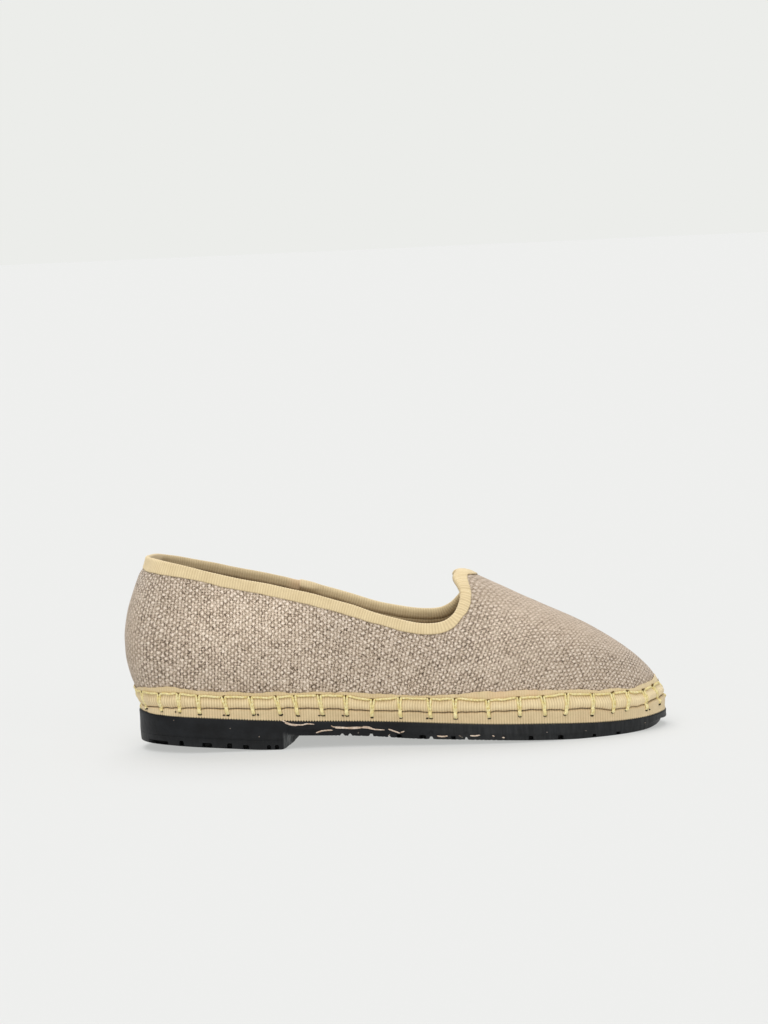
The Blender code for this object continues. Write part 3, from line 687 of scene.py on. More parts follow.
def makeShell(name, gridSize, offsets, material):
    vampRibs = gridSize[1]
    q, angle = upperRibs(*gridSize)
    plain = lastPoint(q, angle)
    weave = weaveMap(q, angle, plain)
    rise = creaseDepth(plain)
    rise[:, -1] *= upperPlan["hemEase"]
    rise = rise + cinch(plain)
    points = [lastPoint(q, angle, out + rise) for out in offsets]
    ribs, size = q.shape
    half = ribs * size
    wall = gridFaces(ribs, size).reshape(ribs, size - 1, 4)
    vamp = np.zeros(ribs, bool)
    vamp[:vampRibs] = vamp[ribs - vampRibs:] = True
    wall = np.concatenate([wall[i, :-1] if vamp[i] else wall[i] for i in range(ribs)])
    hemRow = np.arange(ribs)
    nextRow = (hemRow + 1) % ribs
    feet = np.stack([hemRow * size, half + hemRow * size, half + nextRow * size,
                     nextRow * size], 1)
    top = np.stack([hemRow * size, nextRow * size, half + nextRow * size,
                    half + hemRow * size], 1)[~vamp] + size - 1
    faces = np.vstack([wall, wall[:, ::-1] + half, feet, top])
    twice = np.concatenate([plain, plain])
    return newPiece(name, np.concatenate(points), faces, material,
                    {"weaveMap": np.concatenate([weave, weave])},
                    {"soft": softness(twice), "paintedLightAndTone": clothLightAndTone(twice)}, merge=0.01, sharp=60.0)


upper = makeShell("linen_upper", upperPlan["size"], upperPlan["faces"], linen)
lining = makeShell("lining", upperPlan["liningSize"], upperPlan["liningFaces"], liningCloth)
print("upper made,", len(upper.data.polygons), "faces")


# Geometry Nodes: small helpers
def newTree(name, inputs):
    tree = bpy.data.node_groups.new(name, "GeometryNodeTree")
    tree.interface.new_socket("Geometry", in_out="INPUT", socket_type="NodeSocketGeometry")
    for label, kind in inputs.items():
        tree.interface.new_socket(label, in_out="INPUT", socket_type="NodeSocket" + kind)
    tree.interface.new_socket("Geometry", in_out="OUTPUT", socket_type="NodeSocketGeometry")
    return tree, addNode(tree, "NodeGroupInput").outputs


def endTree(tree, start, geometry, shade=True):
    if shade:
        geometry = addNode(tree, "GeometryNodeSetShadeSmooth", (geometry,))
    real = addNode(tree, "GeometryNodeRealizeInstances", (geometry,))
    painted = addNode(tree, "GeometryNodeSetMaterial", {0: real, "Material": start["Material"]})
    addNode(tree, "NodeGroupOutput", (painted,))
    return tree


def runTree(source, tree, values, name):
    # the tree's result as a plain mesh that takes the source's place
    modifier = source.modifiers.new(tree.name, "NODES")
    modifier.node_group = tree
    for item in tree.interface.items_tree:
        if item.in_out == "INPUT" and item.name in values:
            modifier[item.identifier] = values[item.name]
    bpy.context.view_layer.update()
    graph = bpy.context.evaluated_depsgraph_get()
    mesh = bpy.data.meshes.new_from_object(source.evaluated_get(graph),
                                           preserve_all_data_layers=True, depsgraph=graph)
    bpy.data.objects.remove(source)
    mesh.name = name
    return addObject(name, mesh)


def makeRibTree():
    # raises cross ribs along a ribbon, where its "ribbed" field says
    tree, start = newTree("grosgrainRibs", {
        "Pitch": "Float", "Height": "Float", "Material": "Material"})
    way, ribbed = (addNode(tree, reader, {"Name": name}, data_type="FLOAT").outputs["Attribute"]
                   for name in ("along", "ribbed"))
    turn = addNode(tree, calc, (way, start["Pitch"]), operation="DIVIDE")
    turn = addNode(tree, calc, (turn, math.tau), operation="MULTIPLY")
    lift = addNode(tree, calc, (turn,), operation="COSINE")
    for factor in (start["Height"], ribbed):
        lift = addNode(tree, calc, (lift, factor), operation="MULTIPLY")
    normal = addNode(tree, "GeometryNodeInputNormal")
    offset = addNode(tree, vectors, {0: normal, "Scale": lift}, operation="SCALE")
    moved = addNode(tree, "GeometryNodeSetPosition", {0: start["Geometry"], "Offset": offset})
    return endTree(tree, start, moved, shade=False)


def makeThreadTree():
    # laid thread along each polyline: lobed section, twisted
    tree, start = newTree("laidThread", {
        "Radius": "Float", "Twist": "Float", "Step": "Float", "Plies": "Float",
        "Taper": "Float", "Material": "Material"})
    curve = addNode(tree, "GeometryNodeMeshToCurve", (start["Geometry"],))
    curve = addNode(tree, "GeometryNodeCurveSplineType", (curve,), spline_type="CATMULL_ROM")
    curve = addNode(tree, "GeometryNodeResampleCurve", {0: curve, "Length": start["Step"]},
                    mode="LENGTH")
    share, way = addNode(tree, "GeometryNodeSplineParameter").outputs[:2]
    ends = addNode(tree, calc, (share, 2.0, -1.0), operation="MULTIPLY_ADD")
    ends = addNode(tree, calc, (ends,), operation="ABSOLUTE")
    ends = addNode(tree, calc, (ends, 6.0), operation="POWER")
    ends = addNode(tree, calc, (ends, start["Taper"]), operation="MULTIPLY")
    thick = addNode(tree, calc, (1.0, ends), operation="SUBTRACT")
    turn = addNode(tree, calc, (way, start["Twist"]), operation="DIVIDE")
    turn = addNode(tree, calc, (turn, math.tau), operation="MULTIPLY")
    curve = addNode(tree, "GeometryNodeSetCurveTilt", {0: curve, "Tilt": turn})
    ring = addNode(tree, "GeometryNodeCurvePrimitiveCircle",
                   {"Resolution": 12, "Radius": start["Radius"]}, mode="RADIUS")
    spot = addNode(tree, "GeometryNodeInputPosition")
    parts = addNode(tree, "ShaderNodeSeparateXYZ", (spot,))
    angle = addNode(tree, calc, (parts.outputs[1], parts.outputs[0]), operation="ARCTAN2")
    lobe = addNode(tree, calc, (angle, start["Plies"]), operation="MULTIPLY")
    lobe = addNode(tree, calc, (lobe,), operation="COSINE")
    swell = addNode(tree, calc, (lobe, 0.14, 1.0), operation="MULTIPLY_ADD")
    shaped = addNode(tree, vectors, {0: spot, "Scale": swell}, operation="SCALE")
    ring = addNode(tree, "GeometryNodeSetPosition", {0: ring, "Position": shaped})
    tube = addNode(tree, "GeometryNodeCurveToMesh", {
        0: curve, 1: ring, "Scale": thick, "Fill Caps": True})
    return endTree(tree, start, tube)


def makeHoleTree():
    # a dark plug at each point, painted shade for a hole, turned and stretched as its fields say
    tree, start = newTree("holeShadePlugs", {
        "Size": "Float", "Depth": "Float", "Shake": "Float", "Seed": "Int",
        "Material": "Material"})
    low = addNode(tree, calc, (start["Size"], 0.5), operation="MULTIPLY")
    plug = addNode(tree, "GeometryNodeMeshCone", {
        "Vertices": 12, "Side Segments": 2, "Radius Top": start["Size"], "Radius Bottom": low,
        "Depth": start["Depth"]}, fill_type="NGON")
    turn, stretch = (addNode(tree, reader, {"Name": name}, data_type="FLOAT_VECTOR")
                     .outputs["Attribute"] for name in ("turn", "stretch"))
    turn = addNode(tree, "FunctionNodeEulerToRotation", (turn,))
    spots = addNode(tree, "GeometryNodeInstanceOnPoints", {
        "Points": start["Geometry"], "Instance": plug.outputs["Mesh"], "Rotation": turn,
        "Scale": stretch})
    real = addNode(tree, "GeometryNodeRealizeInstances", (spots,))
    shake = addNode(tree, "FunctionNodeRandomValue", {
        "Min": (-1.0,) * 3, "Max": (1.0,) * 3, "Seed": start["Seed"]}, data_type="FLOAT_VECTOR")
    offset = addNode(tree, vectors, {0: shake, "Scale": start["Shake"]}, operation="SCALE")
    moved = addNode(tree, "GeometryNodeSetPosition", {0: real, "Offset": offset})
    return endTree(tree, start, moved)


ribTree, threadTree, holeTree = makeRibTree(), makeThreadTree(), makeHoleTree()


def addRibs(piece, pitch, height, material):
    name = piece.name
    piece.name = name + "_plain"
    values = {"Pitch": pitch, "Height": height * mm, "Material": material}
    return runTree(piece, ribTree, values, name)


# the collar's binding
# Ribs, gathers at the throat, then how it widens, narrows and thickens at the heel's back and
# where its ends join; mm, or shares of the fold's thickness.
binding = {"pitch": 1.2, "perRib": 6, "ribHeight": 0.06, "pucker": 0.20, "gather": 2.1,
           "uneven": 0.07, "keepOut": 0.30, "heelWide": 1.5, "heelNarrow": 1.3,
           "heelThick": 2.1, "dipNarrow": 0.6, "joinThick": 0.9, "joinOver": 0.4,
           "joinUnder": 0.25, "joinBlush": 0.22}
# Folded section: share of the width inwards, mm back from the edge, mm off the linen.
bindFold = np.array([
    (1, 0, 0.05), (1, 0, 0.36), (1, -0.35, 0.52), (0.8, 0, 0.56), (0.55, 0, 0.58),
    (0.3, 0, 0.60), (0, 1.5, 0.62), (0, 0.75, 0.42), (0, 0.22, -0.10), (0, 0, -0.80),
    (0, 0.16, -1.45), (0, 0.6, -2.02), (0, 1.4, -2.36), (0.5, 0, -2.42), (0.74, 0, -2.40),
    (0.79, 0, -2.12), (0.84, 0, -2.40), (1, 1.2, -2.36), (1, 1.2, -1.88), (0.5, 0, -1.88),
    (0, 1.05, -1.88), (0, 1.05, 0.05), (0.5, 0, 0.05)])
# Its rows by place: how much painted shade each carries inside the fold, which are seen from
# outside, which roll over the edge, how far each thickens inside the shoe, and which are ribbed.
bindInsideShade = np.array([0.0] * 12 + [0.1, 0.2, 0.6, 1.0, 0.55, 0.35, 0.6] + [0.0] * 4)
bindRows = np.arange(len(bindFold))
bindOutside = 1.0 * ((bindRows >= 2) & (bindRows < 8))
bindOver = 1.0 * ((bindRows >= 7) & (bindRows < 12))
bindInside = np.where((bindRows >= 9) & (bindRows < 18), 1.0 - bindFold[:, 0], 0.0)
bindRibbed = 1.0 * ((bindRows > 0) & (bindRows < 18))


def makeBinding():
    fine = rimLine(4000)
    length = np.linalg.norm(np.diff(lastPoint(*fine.T), axis=0), axis=1).sum()
    count = int(round(length / binding["pitch"])) * binding["perRib"]
    step = length / count
    frames = rimFrames(rimLine(count))
    total = len(frames)
    way = np.arange(total) * step
    near = np.minimum(way, 2.0 * length - way)
    width = peakWidth(near)
    base = lastPoint(frames[:, 0], frames[:, 1])
    width = width + 0.18 * ripple(base, 14.0, 21) + 0.08 * ripple(base, 4.0, 22)
    # lapped and thicker round the heel's back
    x, inner = base[:, 0], base[:, 1] > 0.0
    lap = smooth(-106.0, -117.0, x)
    width = width + binding["heelWide"] * smooth(-86.0, -112.0, x)
    width = width - binding["heelNarrow"] * smooth(-112.0, -116.5, x)
    width = width - binding["dipNarrow"] * (base[:, 1] < 0.0) * hump(x, -7.0, 8.0)
    # its ends meet on the inner side, one laid over the other
    join = inner * (smooth(-44.4, -43.4, x) - smooth(-39.0, -32.0, x))
    under = inner * smooth(-51.0, -45.5, x) * smooth(-43.0, -43.8, x)
    # gathered round the throat's tight curve
    pucker = binding["pucker"] * hump(near, 21.0, 11.0) \
        * np.sin(way * math.tau / binding["gather"] + 1.5 * ripple(base, 9.0, 23))
    reach = -(bindFold[:, 0] * width[:, None] + bindFold[:, 1] * (1.0 + 0.3 * lap[:, None]))
    thicker = binding["heelThick"] * lap + binding["joinThick"] * join
    off = bindFold[:, 2] * (1.0 + thicker[:, None] * bindInside)
    off += bindOutside * (pucker + binding["uneven"] * ripple(base, 11.0, 24))[:, None] * 0.8
    reach += bindOver * (0.12 * ripple(base, 17.0, 25) + 0.4 * pucker)[:, None]
    reach += (inner * rimShift(x, near) + binding["joinOver"] * join
              - binding["joinUnder"] * under)[:, None]
    # the fold's two outermost rows never cross the one before
    for row, apart in ((6, 0.35), (7, 0.25)):
        reach[:, row] = np.maximum(reach[:, row], reach[:, row - 1] + apart)
    off = np.where(bindOutside > 0, np.maximum(off, binding["keepOut"]), off)
    q = frames[:, :1] + frames[:, 2:3] * reach
    angle = frames[:, 1:2] + frames[:, 3:4] * reach
    points = lastPoint(q, angle, off + cinch(lastPoint(q, angle)))
    # painted shade: along the binding's lower edge, over its inner fold, and deeper inside towards
    # the heel's back and round the lap there
    fields = {
        "along": np.repeat(way * binding["pitch"] / (step * binding["perRib"]), len(bindFold)),
        "ribbed": np.tile(bindRibbed, total),
        "blush": np.repeat(binding["joinBlush"] * under, len(bindFold)),
        "paintedShade": 0.3 * (bindRows < 2) + 0.8 * bindInsideShade
                + 0.24 * smooth(-10.0, -70.0, x)[:, None] * bindInside
                + 0.45 * lap[:, None] * (bindInside > 0.0)}
    faces = gridFaces(total, len(bindFold), closeColumns=True)
    plain = newPiece("collar_ribbon", points, faces, bindingRibbon, fields=fields, sharp=0)
    return addRibs(plain, binding["pitch"], binding["ribHeight"], bindingRibbon)


bindingPiece = makeBinding()
print("binding made,", len(bindingPiece.data.polygons), "faces")

# stations round the sole, by length along its edge
edgeQ = np.linspace(0.0, 2.0, 6001)
edgeX, edgeY = outline(edgeQ)
edgeWay = planLengths(edgeX, edgeY)
edgeLength = edgeWay[-1]


def wayAt(x, side=1):
    # length along the edge to x, on the outer (1) or inner (-1) side
    q = np.arccos(np.clip(1.0 - 2.0 * (x - shape["soleBack"])
                          / (shape["soleTip"] - shape["soleBack"]), -1, 1)) / math.pi
    return np.interp(q if side > 0 else 2.0 - q, edgeQ, edgeWay)


def edgeAt(way):
    # the sole's edge at a length along it, as outline's q
    q = np.interp(way, edgeWay, edgeQ)
    return np.where(q > 1.0, q - 2.0, q)


stations = {"count": 900, "heights": np.array([-1.0, 2.0, 5.0, 8.0, 11.0])}


def tabulateStations():
    way = np.linspace(0.0, edgeLength, stations["count"] + 1)
    q = edgeAt(way)
    x, y = outline(q)
    nx, ny = outlineNormal(q)
    table = {"way": way, "x": x, "y": y, "nx": nx, "ny": ny}
    for key in ("top", "seam", "band"):
        table[key] = along(sideLines, key, x)
    base = footHeight(q)
    for k, height in enumerate(stations["heights"]):
        at = lastPoint(q, angleAt(q, np.maximum(table["seam"] + height, base + 0.01)))
        table["wx%d" % k], table["wy%d" % k] = at[:, 0], at[:, 1]
    return table


stationTable = tabulateStations()


def station(key, way):
    return np.interp(np.mod(way, edgeLength), stationTable["way"], stationTable[key])


def outFrom(x, y, z, way, out):
    # points moved square to the sole's edge
    return stack(x + station("nx", way) * out, y + station("ny", way) * out, z)


def wallAt(way, height):
    # the linen's face at a height over the seam, in plan
    heights = stations["heights"]
    place = np.clip((height - heights[0]) / (heights[1] - heights[0]), 0.0,
                    len(heights) - 1.001)
    k = place.astype(int)
    columns = [np.stack([station("w%s%d" % (axis, n), way) for n in range(len(heights))], -1)
               for axis in "xy"]
    return [lerp(np.take_along_axis(c, k[..., None], -1)[..., 0],
                 np.take_along_axis(c, k[..., None] + 1, -1)[..., 0], place - k)
            for c in columns]


# places of the blanket stitch
# Outer side, one by one: x of the lower hole, its drop under the crease, the thread's height
# over the crease, and how far the stitch leans back going up.
stitchRows = readRows("x drop rise lean", [
    (-118.3, 0.9, 7.2, 0.6), (-109.8, 1.4, 6.7, 0.9), (-101.1, 1.6, 7.0, 0.6),
    (-91.8, 2.4, 5.9, 0.9), (-78.7, 2.6, 5.4, 2.2), (-66.6, 2.5, 5.6, 1.8),
    (-54.1, 2.6, 5.2, 2.2), (-46.2, 3.1, 5.8, 1.8), (-34.5, 2.8, 6.2, 1.8),
    (-23.4, 2.5, 6.3, 0.5), (-11.8, 2.9, 5.0, -0.5), (1.7, 2.8, 6.1, 0.9),
    (15.6, 2.4, 6.2, 0.9), (27.1, 2.8, 6.2, 0.5), (42.5, 2.8, 5.0, 0.7),
    (56.7, 2.3, 5.7, 0.2), (68.4, 2.5, 6.0, 0.6), (77.7, 2.3, 7.2, -2.2),
    (90.4, 3.1, 6.3, -1.9), (100.4, 2.2, 7.4, -1.6), (106.9, 1.9, 7.5, -3.1),
    (117.1, 3.4, 5.9, -1.3), (124.7, 2.7, 6.0, 2.2)])


# Inner side: gaps in mm, closer at the toe and the heel, and ranges of the other three.
innerStitches = {"first": 15.0, "last": 10.5, "stop": 6.0, "gap": 12.7, "toeCloser": 3.6,
                 "heelCloser": 3.0, "shake": 0.9, "drop": (2.2, 3.1), "rise": (5.4, 7.0),
                 "lean": (-0.6, 1.6)}


def layStitches():
    way = wayAt(stitchRows["x"])
    rule = innerStitches
    goal, end = way[-1] + rule["first"], way[0] + edgeLength
    extra = []
    while goal < end - rule["stop"]:
        x = station("x", goal)
        extra.append(goal)
        gap = rule["gap"] - rule["toeCloser"] * smooth(95.0, 122.0, x) \
            - rule["heelCloser"] * smooth(-98.0, -116.0, x)
        goal += gap + dice.uniform(-rule["shake"], rule["shake"])
    extra = np.array(extra)
    past = extra - extra[0]
    extra += (end - rule["last"] - extra[-1]) * past / (extra[-1] - extra[0])
    keys = ("drop", "rise", "lean")
    rows = [way] + [stitchRows[key] for key in keys]
    more = [extra] + [dice.uniform(*rule[key], len(extra)) for key in keys]
    return [np.concatenate(pair) for pair in zip(rows, more)]


stitchWay, stitchDrop, stitchRise, stitchLean = layStitches()
print(len(stitchWay), "stitches laid")


def nearStitch(way, share, width):
    # 1 at each stitch, 0 away from it; share is how far up its lean this is
    share = np.asarray(share, float)[..., None]
    away = np.asarray(way)[..., None] - stitchWay + stitchLean * share
    away = np.mod(away + 0.5 * edgeLength, edgeLength) - 0.5 * edgeLength
    return hump(away, 0.0, width).max(-1)


def threadHeight(way):
    # height of the long thread over the crease: it sags a little between its holes
    order = np.argsort(stitchWay)
    ways, rises = stitchWay[order], stitchRise[order]
    ways = np.concatenate([ways[-1:] - edgeLength, ways, ways[:1] + edgeLength])
    rises = np.concatenate([rises[-1:], rises, rises[:1]])
    way = np.mod(way, edgeLength)
    k = np.clip(np.searchsorted(ways, way) - 1, 0, len(ways) - 2)
    t = (way - ways[k]) / (ways[k + 1] - ways[k])
    sag = band["sag"] * np.sin(math.pi * t)
    return lerp(rises[k], rises[k + 1], t * t * (3.0 - 2.0 * t)) - sag


band = {"pitch": 1.25, "perRib": 6, "ribHeight": 0.065, "creaseLift": 0.35, "wave": 0.34,
        "pinch": 0.75, "groove": 0.85, "strip": 0.62, "sag": 0.35, "overThread": 1.1,
        "toeDip": 1.25}
# Belly of the roll: share of the way up to the thread, mm out from the sole's edge.
belly = readRows("x out", [(0, -1.3), (0.05, -0.55), (0.12, 0.0), (0.25, 0.42), (0.42, 0.55),
                           (0.6, 0.5), (0.8, 0.4), (1.0, 0.4)])


def wavy(way, size, seed):
    # closed unevenness along the edge
    turns = math.tau * np.mod(way, edgeLength) / edgeLength
    draw = np.random.default_rng(seed)
    middle = edgeLength / size
    total = 0.0
    for _ in range(6):
        total = total + np.sin(round(middle * draw.uniform(0.6, 1.5)) * turns
                               + draw.uniform(0.0, 6.28))
    return total / 3.0


def roundEnd(way):
    # 1 at the toe's tip and at the heel's back, where the ribbons were pulled tight
    x = station("x", way)
    return smooth(112.0, 124.0, x) + smooth(-113.0, -121.5, x)


def creaseHeight(way):
    x = station("x", way)
    return station("seam", way) + band["creaseLift"] + band["wave"] * wavy(way, 31.0, 31) \
        + 0.12 * wavy(way, 7.0, 32) - 0.35 * nearStitch(way, 0.0, 1.6) \
        - band["toeDip"] * smooth(90.0, 101.0, x) * smooth(121.0, 112.0, x)


def bandEdge(way):
    # height of the band's upper edge, never under the thread
    wanted = station("band", way) + 0.35 * wavy(way, 23.0, 33) + 0.14 * wavy(way, 6.0, 34)
    return np.maximum(wanted, creaseHeight(way) + threadHeight(way) + band["overThread"])


def bandPoint(way, level, lift=0.0):
    # a point of the band's face: level 0 is the crease, 1 the thread, 2 the upper edge
    way, level, lift = np.broadcast_arrays(np.asarray(way, float), level, lift)
    crease, edge = creaseHeight(way), bandEdge(way)
    threadAt = crease + threadHeight(way)
    t, s = np.clip(level, 0.0, 1.0), np.clip(level - 1.0, 0.0, 1.0)
    z = lerp(crease, threadAt, t) + (edge - threadAt) * s
    seam = station("seam", way)
    wx, wy = wallAt(way, z - seam)
    footX, footY = wallAt(way, crease - seam)
    nx, ny = station("nx", way), station("ny", way)
    inset = (station("x", way) - footX) * nx + (station("y", way) - footY) * ny
    pinch = nearStitch(way, 0.35 + 0.65 * t, 1.25)
    plump = inset + along(belly, "out", t) * (1.0 - 0.25 * pinch) \
        + 0.16 * wavy(way, 9.0, 35) * np.sin(math.pi * t) \
        - band["pinch"] * pinch * np.sin(math.pi * np.minimum(t * 1.15, 1.0)) ** 0.7 \
        - roundEnd(way) * np.where(station("x", way) > 0.0, 1.2, 0.8)
    fall = smooth(0.40, 1.0, t) ** 1.15
    flat = 1.0 - 0.5 * roundEnd(way)
    thick = lerp(plump, band["groove"] * flat - 0.30 * pinch, fall)
    strip = band["strip"] * flat + 0.28 * np.sin(math.pi * np.clip(s * 1.1, 0, 1)) \
        + 0.12 * smooth(0.8, 1.0, s) * (1.0 + wavy(way, 5.0, 36))
    thick = np.where(level > 1.0, lerp(thick, strip, smooth(0.0, 0.25, s)), thick) + lift
    # the offset leans up as the belly turns over
    tilt = smooth(0.15, 1.0, t) * 0.55 * (level <= 1.0)
    return outFrom(wx, wy, z + lift * tilt, way, thick)


# The lower ribbon: level -1 at its lower edge to 0 at the crease, mm out from the sole's edge.
foxing = readRows("x out", [(-1.0, -0.05), (-0.9, -0.12), (-0.7, -0.10), (-0.45, 0.0),
                            (-0.25, 0.02), (-0.12, -0.12), (-0.05, -0.55), (0.0, -1.3)])


def foxingPoint(way, level, lift=0.0):
    way, level, lift = np.broadcast_arrays(np.asarray(way, float), level, lift)
    low = station("top", way)
    high = creaseHeight(way) - 0.1
    z = lerp(high, low, -level)
    dent = nearStitch(way, 0.0, 1.1) * hump(z, station("seam", way) - 2.6, 1.3)
    out = along(foxing, "out", level) + 0.10 * wavy(way, 19.0, 41) * (level > -0.95) \
        - 0.30 * dent - roundEnd(way) * np.where(station("x", way) > 0.0, 0.3, 0.8) + lift
    return outFrom(station("x", way), station("y", way), z, way, out)


def ribStations(pitch, perRib):
    ribs = int(round(edgeLength / pitch))
    way = np.arange(ribs * perRib) * edgeLength / (ribs * perRib)
    return way, way * pitch * ribs / edgeLength


# Painted light: the ribbons are lighter at the toe and at the heel's back, where light falls on
# the shoe's ends; share added to each ribbon's level.
endLight = readRows("x band foxing", [
    (-122, 0.04, 0.27), (-104, 0.02, 0.12), (-60, 0.0, 0.05), (0, 0.0, -0.03), (20, 0.0, -0.01),
    (60, 0.10, 0.05), (90, 0.11, 0.05), (104, 0.16, 0.06), (114, 0.20, 0.17), (128, 0.22, 0.25)])


def fainterAtToe(x):
    # at the toe the painted crease shade and the ribs are fainter
    return 1.0 - 0.5 * smooth(94.0, 114.0, x)


def makeBand():
    way, ribWay = ribStations(band["pitch"], band["perRib"])
    levels = np.array([0, 0.04, 0.1, 0.18, 0.28, 0.4, 0.52, 0.64, 0.75, 0.85, 0.93, 1.0,
                       1.07, 1.15, 1.28, 1.5, 1.78, 1.95, 2.0])
    outer = bandPoint(way[:, None], levels[None, :])
    crease, edge = creaseHeight(way), bandEdge(way)
    # its back lies close to the linen
    inner = []
    for share in (1.0, 0.6, 0.25, 0.0):
        z = lerp(crease, edge, share) - (0.02 if share == 1.0 else 0.0)
        inner.append(outFrom(*wallAt(way, z - station("seam", way)), z, way, 0.16))
    points = np.concatenate([outer, np.stack(inner, 1)], 1)
    size = points.shape[1]
    x = points[..., 0]
    outerSide = points[..., 1] < 0.0
    level = np.concatenate([levels, [2, 1.5, 0.8, 0]])[None, :] + 0.0 * x
    # a pinkish cast where glue was wiped, on the outer side's forefoot
    blush = np.where(outerSide, 0.22 * smooth(30, 44, x) * smooth(78, 62, x), 0.0) \
        * smooth(0.8, 1.3, level) * np.clip(0.6 + 0.7 * wavy(way, 11.0, 37), 0, 1)[:, None]
    # painted shade: darker in the crease, unevenly along it, and in a thin line along the long
    # thread; painted light at the ends, the strip over the thread a little darker, and painted
    # shade round the thread's upper holes
    creaseShadeWave = (0.85 + 0.45 * wavy(way, 21.0, 38))[:, None]
    paintedShade = 0.40 * smooth(0.08, 0.0, level) * fainterAtToe(x) * creaseShadeWave + 0.22 * hump(level, 1.0, 0.10)
    face = (np.arange(size) < len(levels) - 1) * (1.0 - 0.6 * smooth(0.95, 1.1, level))
    fields = {"along": np.repeat(ribWay, size), "ribbed": face * fainterAtToe(x),
              "paintedLightAndTone": along(endLight, "band", x) - 0.08 * smooth(1.0, 1.2, level),
              "blush": blush, "paintedShade": paintedShade,
              "paintedHoleShade": 0.75 * nearStitch(way, 0.5, 1.3)[:, None] * hump(level, 1.08, 0.10)}
    faces = gridFaces(len(way), size, closeColumns=True)
    plain = newPiece("rolled_ribbon", points, faces, bandRibbon, fields=fields, sharp=0)
    return addRibs(plain, band["pitch"], band["ribHeight"], bandRibbon)


bandPiece = makeBand()
print("rolled band made,", len(bandPiece.data.polygons), "faces")


def fanInside(q, fraction, inset):
    # points from a ring inset from the sole's edge to its fan axis
    (ex, ey), (ax, ay) = outlineOffset(q, -inset), fanAxis(q)
    return lerp(ex, ax, fraction), lerp(ey, ay, fraction)


def makeFoxing():
    way, ribWay = ribStations(band["pitch"], band["perRib"])
    levels = np.array([0.0, -0.04, -0.09, -0.15, -0.24, -0.36, -0.48, -0.58, -0.68, -0.78,
                       -0.88, -0.95, -1.0])
    outer = foxingPoint(way[:, None], levels[None, :])
    # the lower edge is finely scalloped, one bow to a rib
    bow = np.cos(ribWay * math.tau / band["pitch"])
    outer[:, -1, 2] -= 0.26 * bow
    outer[:, -2, 2] -= 0.14 * bow
    # closed inside the sole: three flat rings and one by the ribbon's back, over and under
    q = edgeAt(way)
    before, after = [], []
    for fraction in (1.0, 0.5, 0.0):
        x, y = fanInside(q, fraction, 6.0)
        before.append(stack(x, y, along(sideLines, "seam", x)))
        after.append(stack(x, y, along(sideLines, "top", x) + 0.25))
    x, y = fanInside(q, 0.0, 2.4)
    before.append(stack(x, y, np.minimum(creaseHeight(way) - 0.1, station("seam", way))))
    after.append(stack(x, y, station("top", way) + 0.25))
    points = np.concatenate([np.stack(before, 1), outer, np.stack(after[::-1], 1)], 1)
    size = points.shape[1]
    x = points[..., 0]
    level = np.concatenate([[0] * 4, levels, [-1] * 4])[None, :] + 0.0 * x
    face = (np.arange(size) >= 4) & (np.arange(size) < 4 + len(levels))
    # painted shade under the crease, fainter at the toe, and a little lighter towards the lower
    # edge; painted light at the ends
    paintedShade = 0.55 * smooth(-0.08, 0.0, level) * fainterAtToe(x) - 0.10 * smooth(-0.8, -1.0, level)
    blush = 0.06 * np.clip(wavy(way, 47.0, 42), 0, 1)[:, None] + 0.0 * x
    fields = {"along": np.repeat(ribWay, size), "ribbed": face[None, :] * fainterAtToe(x),
              "paintedLightAndTone": along(endLight, "foxing", x), "blush": blush, "paintedShade": paintedShade}
    faces = gridFaces(len(way), size)
    plain = newPiece("foxing_ribbon", points, faces, soleRibbon, fields=fields, merge=0.01,
                     sharp=0)
    return addRibs(plain, band["pitch"], band["ribHeight"] * 0.7, soleRibbon)


foxingPiece = makeFoxing()
print("foxing made,", len(foxingPiece.data.polygons), "faces")

# the blanket stitch
stitch = {"radius": 0.55, "twist": 2.8, "step": 0.36, "plies": 2.0, "taper": 0.3,
          "spread": 0.45, "foot": 0.34, "clear": 0.95, "longLevel": 1.06, "longCount": 14}
# One thread of a stitch, down from its upper hole over the roll to the crease and on into the
# lower hole: levels on the roll, shares of the way under it, and lifts in radii.
rollLevels = np.concatenate([[1.16, 1.06], np.linspace(0.97, 0.1, 9), [0.0]])
underShares = np.array([0.3, 0.55, 0.72, 0.86, 0.95])
threadLifts = np.array([-0.9, 0.1] + [0.62] * 9 + [1.7, 1.3, 1.0, 0.62, -0.2, -1.6])


def facePoint(way, level, lift):
    way, level = np.broadcast_arrays(np.asarray(way, float), level)
    return np.where((level >= 0.0)[..., None], bandPoint(way, np.maximum(level, 0.0), lift),
                    foxingPoint(way, np.minimum(level, -0.001), lift))


def holeLevel(n):
    # level on the lower ribbon of stitch n's hole
    way = stitchWay[n]
    high = creaseHeight(way) - 0.1
    return float((station("seam", way) - stitchDrop[n] - high) / (high - station("top", way)))


